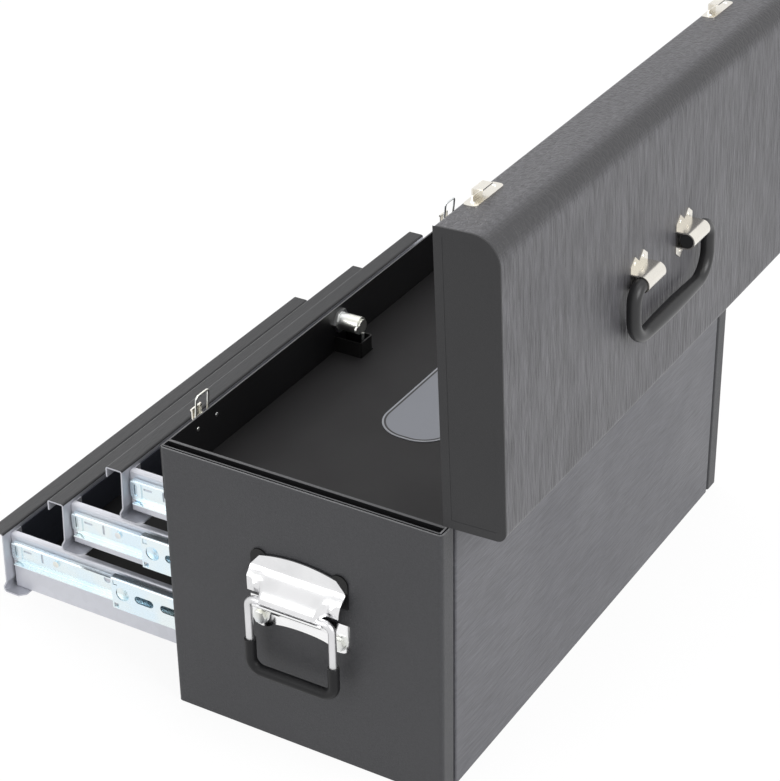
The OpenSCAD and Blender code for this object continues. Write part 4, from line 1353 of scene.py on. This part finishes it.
@dataclass
class Studio:
    """A pale floor, soft lamps, a white surround and the camera."""

    azimuth: float = 31.301
    elevation: float = 30.633
    roll: float = -1.010
    place: Point = (1635.49 * MM, 908.34 * MM, 1335.88 * MM)
    focal_pixels: float = 2246.22
    sensor: float = 36.0
    near: float = 0.05
    far: float = 100.0
    floor_half: float = 12.0
    floor_drop: float = 0.5 * MM
    floor_tone: float = 0.85
    floor_roughness: float = 0.9
    glow: float = 1.05
    glow_share: float = 0.85
    dim: float = 0.50
    aim: Point = (0.0, 0.0, 0.25)
    lamps: tuple[tuple[str, Point, float, float], ...] = (
        ("key", (0.6, 3.4, 2.6), 2.4, 104.0),
        ("top", (-0.4, -0.2, 3.2), 2.6, 24.0),
        ("side", (3.2, -1.2, 1.8), 2.0, 26.0),
        ("fill", (-1.8, -3.2, 1.8), 2.2, 30.0),
    )

    def build(self) -> None:
        """Builds the studio."""
        self.camera()
        self.surround()
        self.floor()
        for name, at, size, power in self.lamps:
            self.lamp(name, at, size, power)
        bpy.context.scene.view_settings.view_transform = "Standard"

    def camera(self) -> None:
        """Stands the camera where the photograph was taken from."""
        az, el, roll = (math.radians(v) for v in (self.azimuth, self.elevation, self.roll))
        back = Vector((math.cos(az) * math.cos(el), math.sin(az) * math.cos(el), math.sin(el)))
        right = Vector((0.0, 0.0, 1.0)).cross(back).normalized()
        up = back.cross(right)
        turned_right = right * math.cos(roll) + up * math.sin(roll)
        turned_up = up * math.cos(roll) - right * math.sin(roll)
        data = bpy.data.cameras.new("camera")
        data.sensor_width = self.sensor
        data.lens = self.focal_pixels * self.sensor / max(IMAGE_W, IMAGE_H)
        data.clip_start, data.clip_end = self.near, self.far
        made = linked("camera", data)
        axes = Matrix((turned_right, turned_up, back)).transposed().to_4x4()
        made.matrix_world = Matrix.Translation(Vector(self.place)) @ axes
        bpy.context.scene.camera = made

    def seen(self, g: Graph) -> bpy.types.NodeSocket:
        """Tells rays that see the background from rays that light the object.

        Args:
            g: the tree to add to.

        Returns:
            1 for camera, glossy and transmission rays.
        """
        path = g.add("LightPath").outputs
        shiny = g.sum("MAXIMUM", path["Is Glossy Ray"], path["Is Transmission Ray"])
        return g.sum("MAXIMUM", path["Is Camera Ray"], shiny)

    def surround(self) -> None:
        """Makes the world white where it is seen, and a soft light elsewhere."""
        world = bpy.data.worlds.new("surround")
        bpy.context.scene.world = world
        world.use_nodes = True
        g = Graph(world.node_tree)
        light = world.node_tree.nodes["Background"]
        light.inputs["Color"].default_value = (1.0, 1.0, 1.0, 1.0)
        g.put(light.inputs["Strength"], g.ramp(self.seen(g), 0.0, 1.0, self.dim, 1.0))

    def floor(self) -> None:
        """Lays the pale floor under the chest."""
        bm = bmesh.new()
        bmesh.ops.create_grid(bm, x_segments=1, y_segments=1, size=self.floor_half)
        bmesh.ops.translate(bm, verts=list(bm.verts), vec=(0.0, 0.0, -self.floor_drop))
        mesh = bpy.data.meshes.new("floor")
        bm.to_mesh(mesh)
        bm.free()
        made = linked("floor", mesh)
        material = bpy.data.materials.new("floor")
        material.use_nodes = True
        g = Graph(material.node_tree)
        shader = material.node_tree.nodes["Principled BSDF"]
        g.put(shader.inputs["Base Color"], (self.floor_tone, self.floor_tone, self.floor_tone))
        shader.inputs["Roughness"].default_value = self.floor_roughness
        glow = g.add("Emission", Color=(1.0, 1.0, 1.0), Strength=self.glow)
        mix = g.tree.nodes.new("ShaderNodeMixShader")
        g.put(mix.inputs[0], g.sum("MULTIPLY", self.seen(g), self.glow_share))
        g.put(mix.inputs[1], shader.outputs[0])
        g.put(mix.inputs[2], glow.outputs[0])
        g.put(material.node_tree.nodes["Material Output"].inputs["Surface"], mix.outputs[0])
        mesh.materials.append(material)

    def lamp(self, name: str, at: Point, size: float, power: float) -> None:
        """Hangs a square lamp that faces the chest.

        Args:
            name: the lamp's name.
            at: where it hangs, in metres.
            size: its side, in metres.
            power: its power, in watts.
        """
        data = bpy.data.lights.new(name, "AREA")
        data.size, data.energy = size, power
        made = linked(name, data)
        toward = (Vector(self.aim) - Vector(at)).to_track_quat("-Z", "Y")
        made.matrix_world = Matrix.Translation(Vector(at)) @ toward.to_matrix().to_4x4()


@dataclass
class Chest:
    """The whole chest, in its sub-assemblies."""

    body: Body = field(default_factory=Body)
    lid: Lid = field(default_factory=Lid)
    handles: EndHandles = field(default_factory=EndHandles)
    drawers: tuple[Drawer, ...] = (
        Drawer(1, 223.0 * MM, 83.0 * MM),
        Drawer(2, 161.75 * MM, 158.0 * MM),
        Drawer(3, 100.5 * MM, 239.0 * MM),
    )

    def build(self) -> None:
        """Builds the sub-assemblies in order."""
        for part in (self.body, self.lid, self.handles, *self.drawers):
            part.build()


def main() -> None:
    """Builds the studio and the chest."""
    logging.basicConfig(level=logging.INFO, format="%(message)s")
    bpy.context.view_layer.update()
    Studio().build()
    Chest().build()


if __name__ == "__main__":
    main()
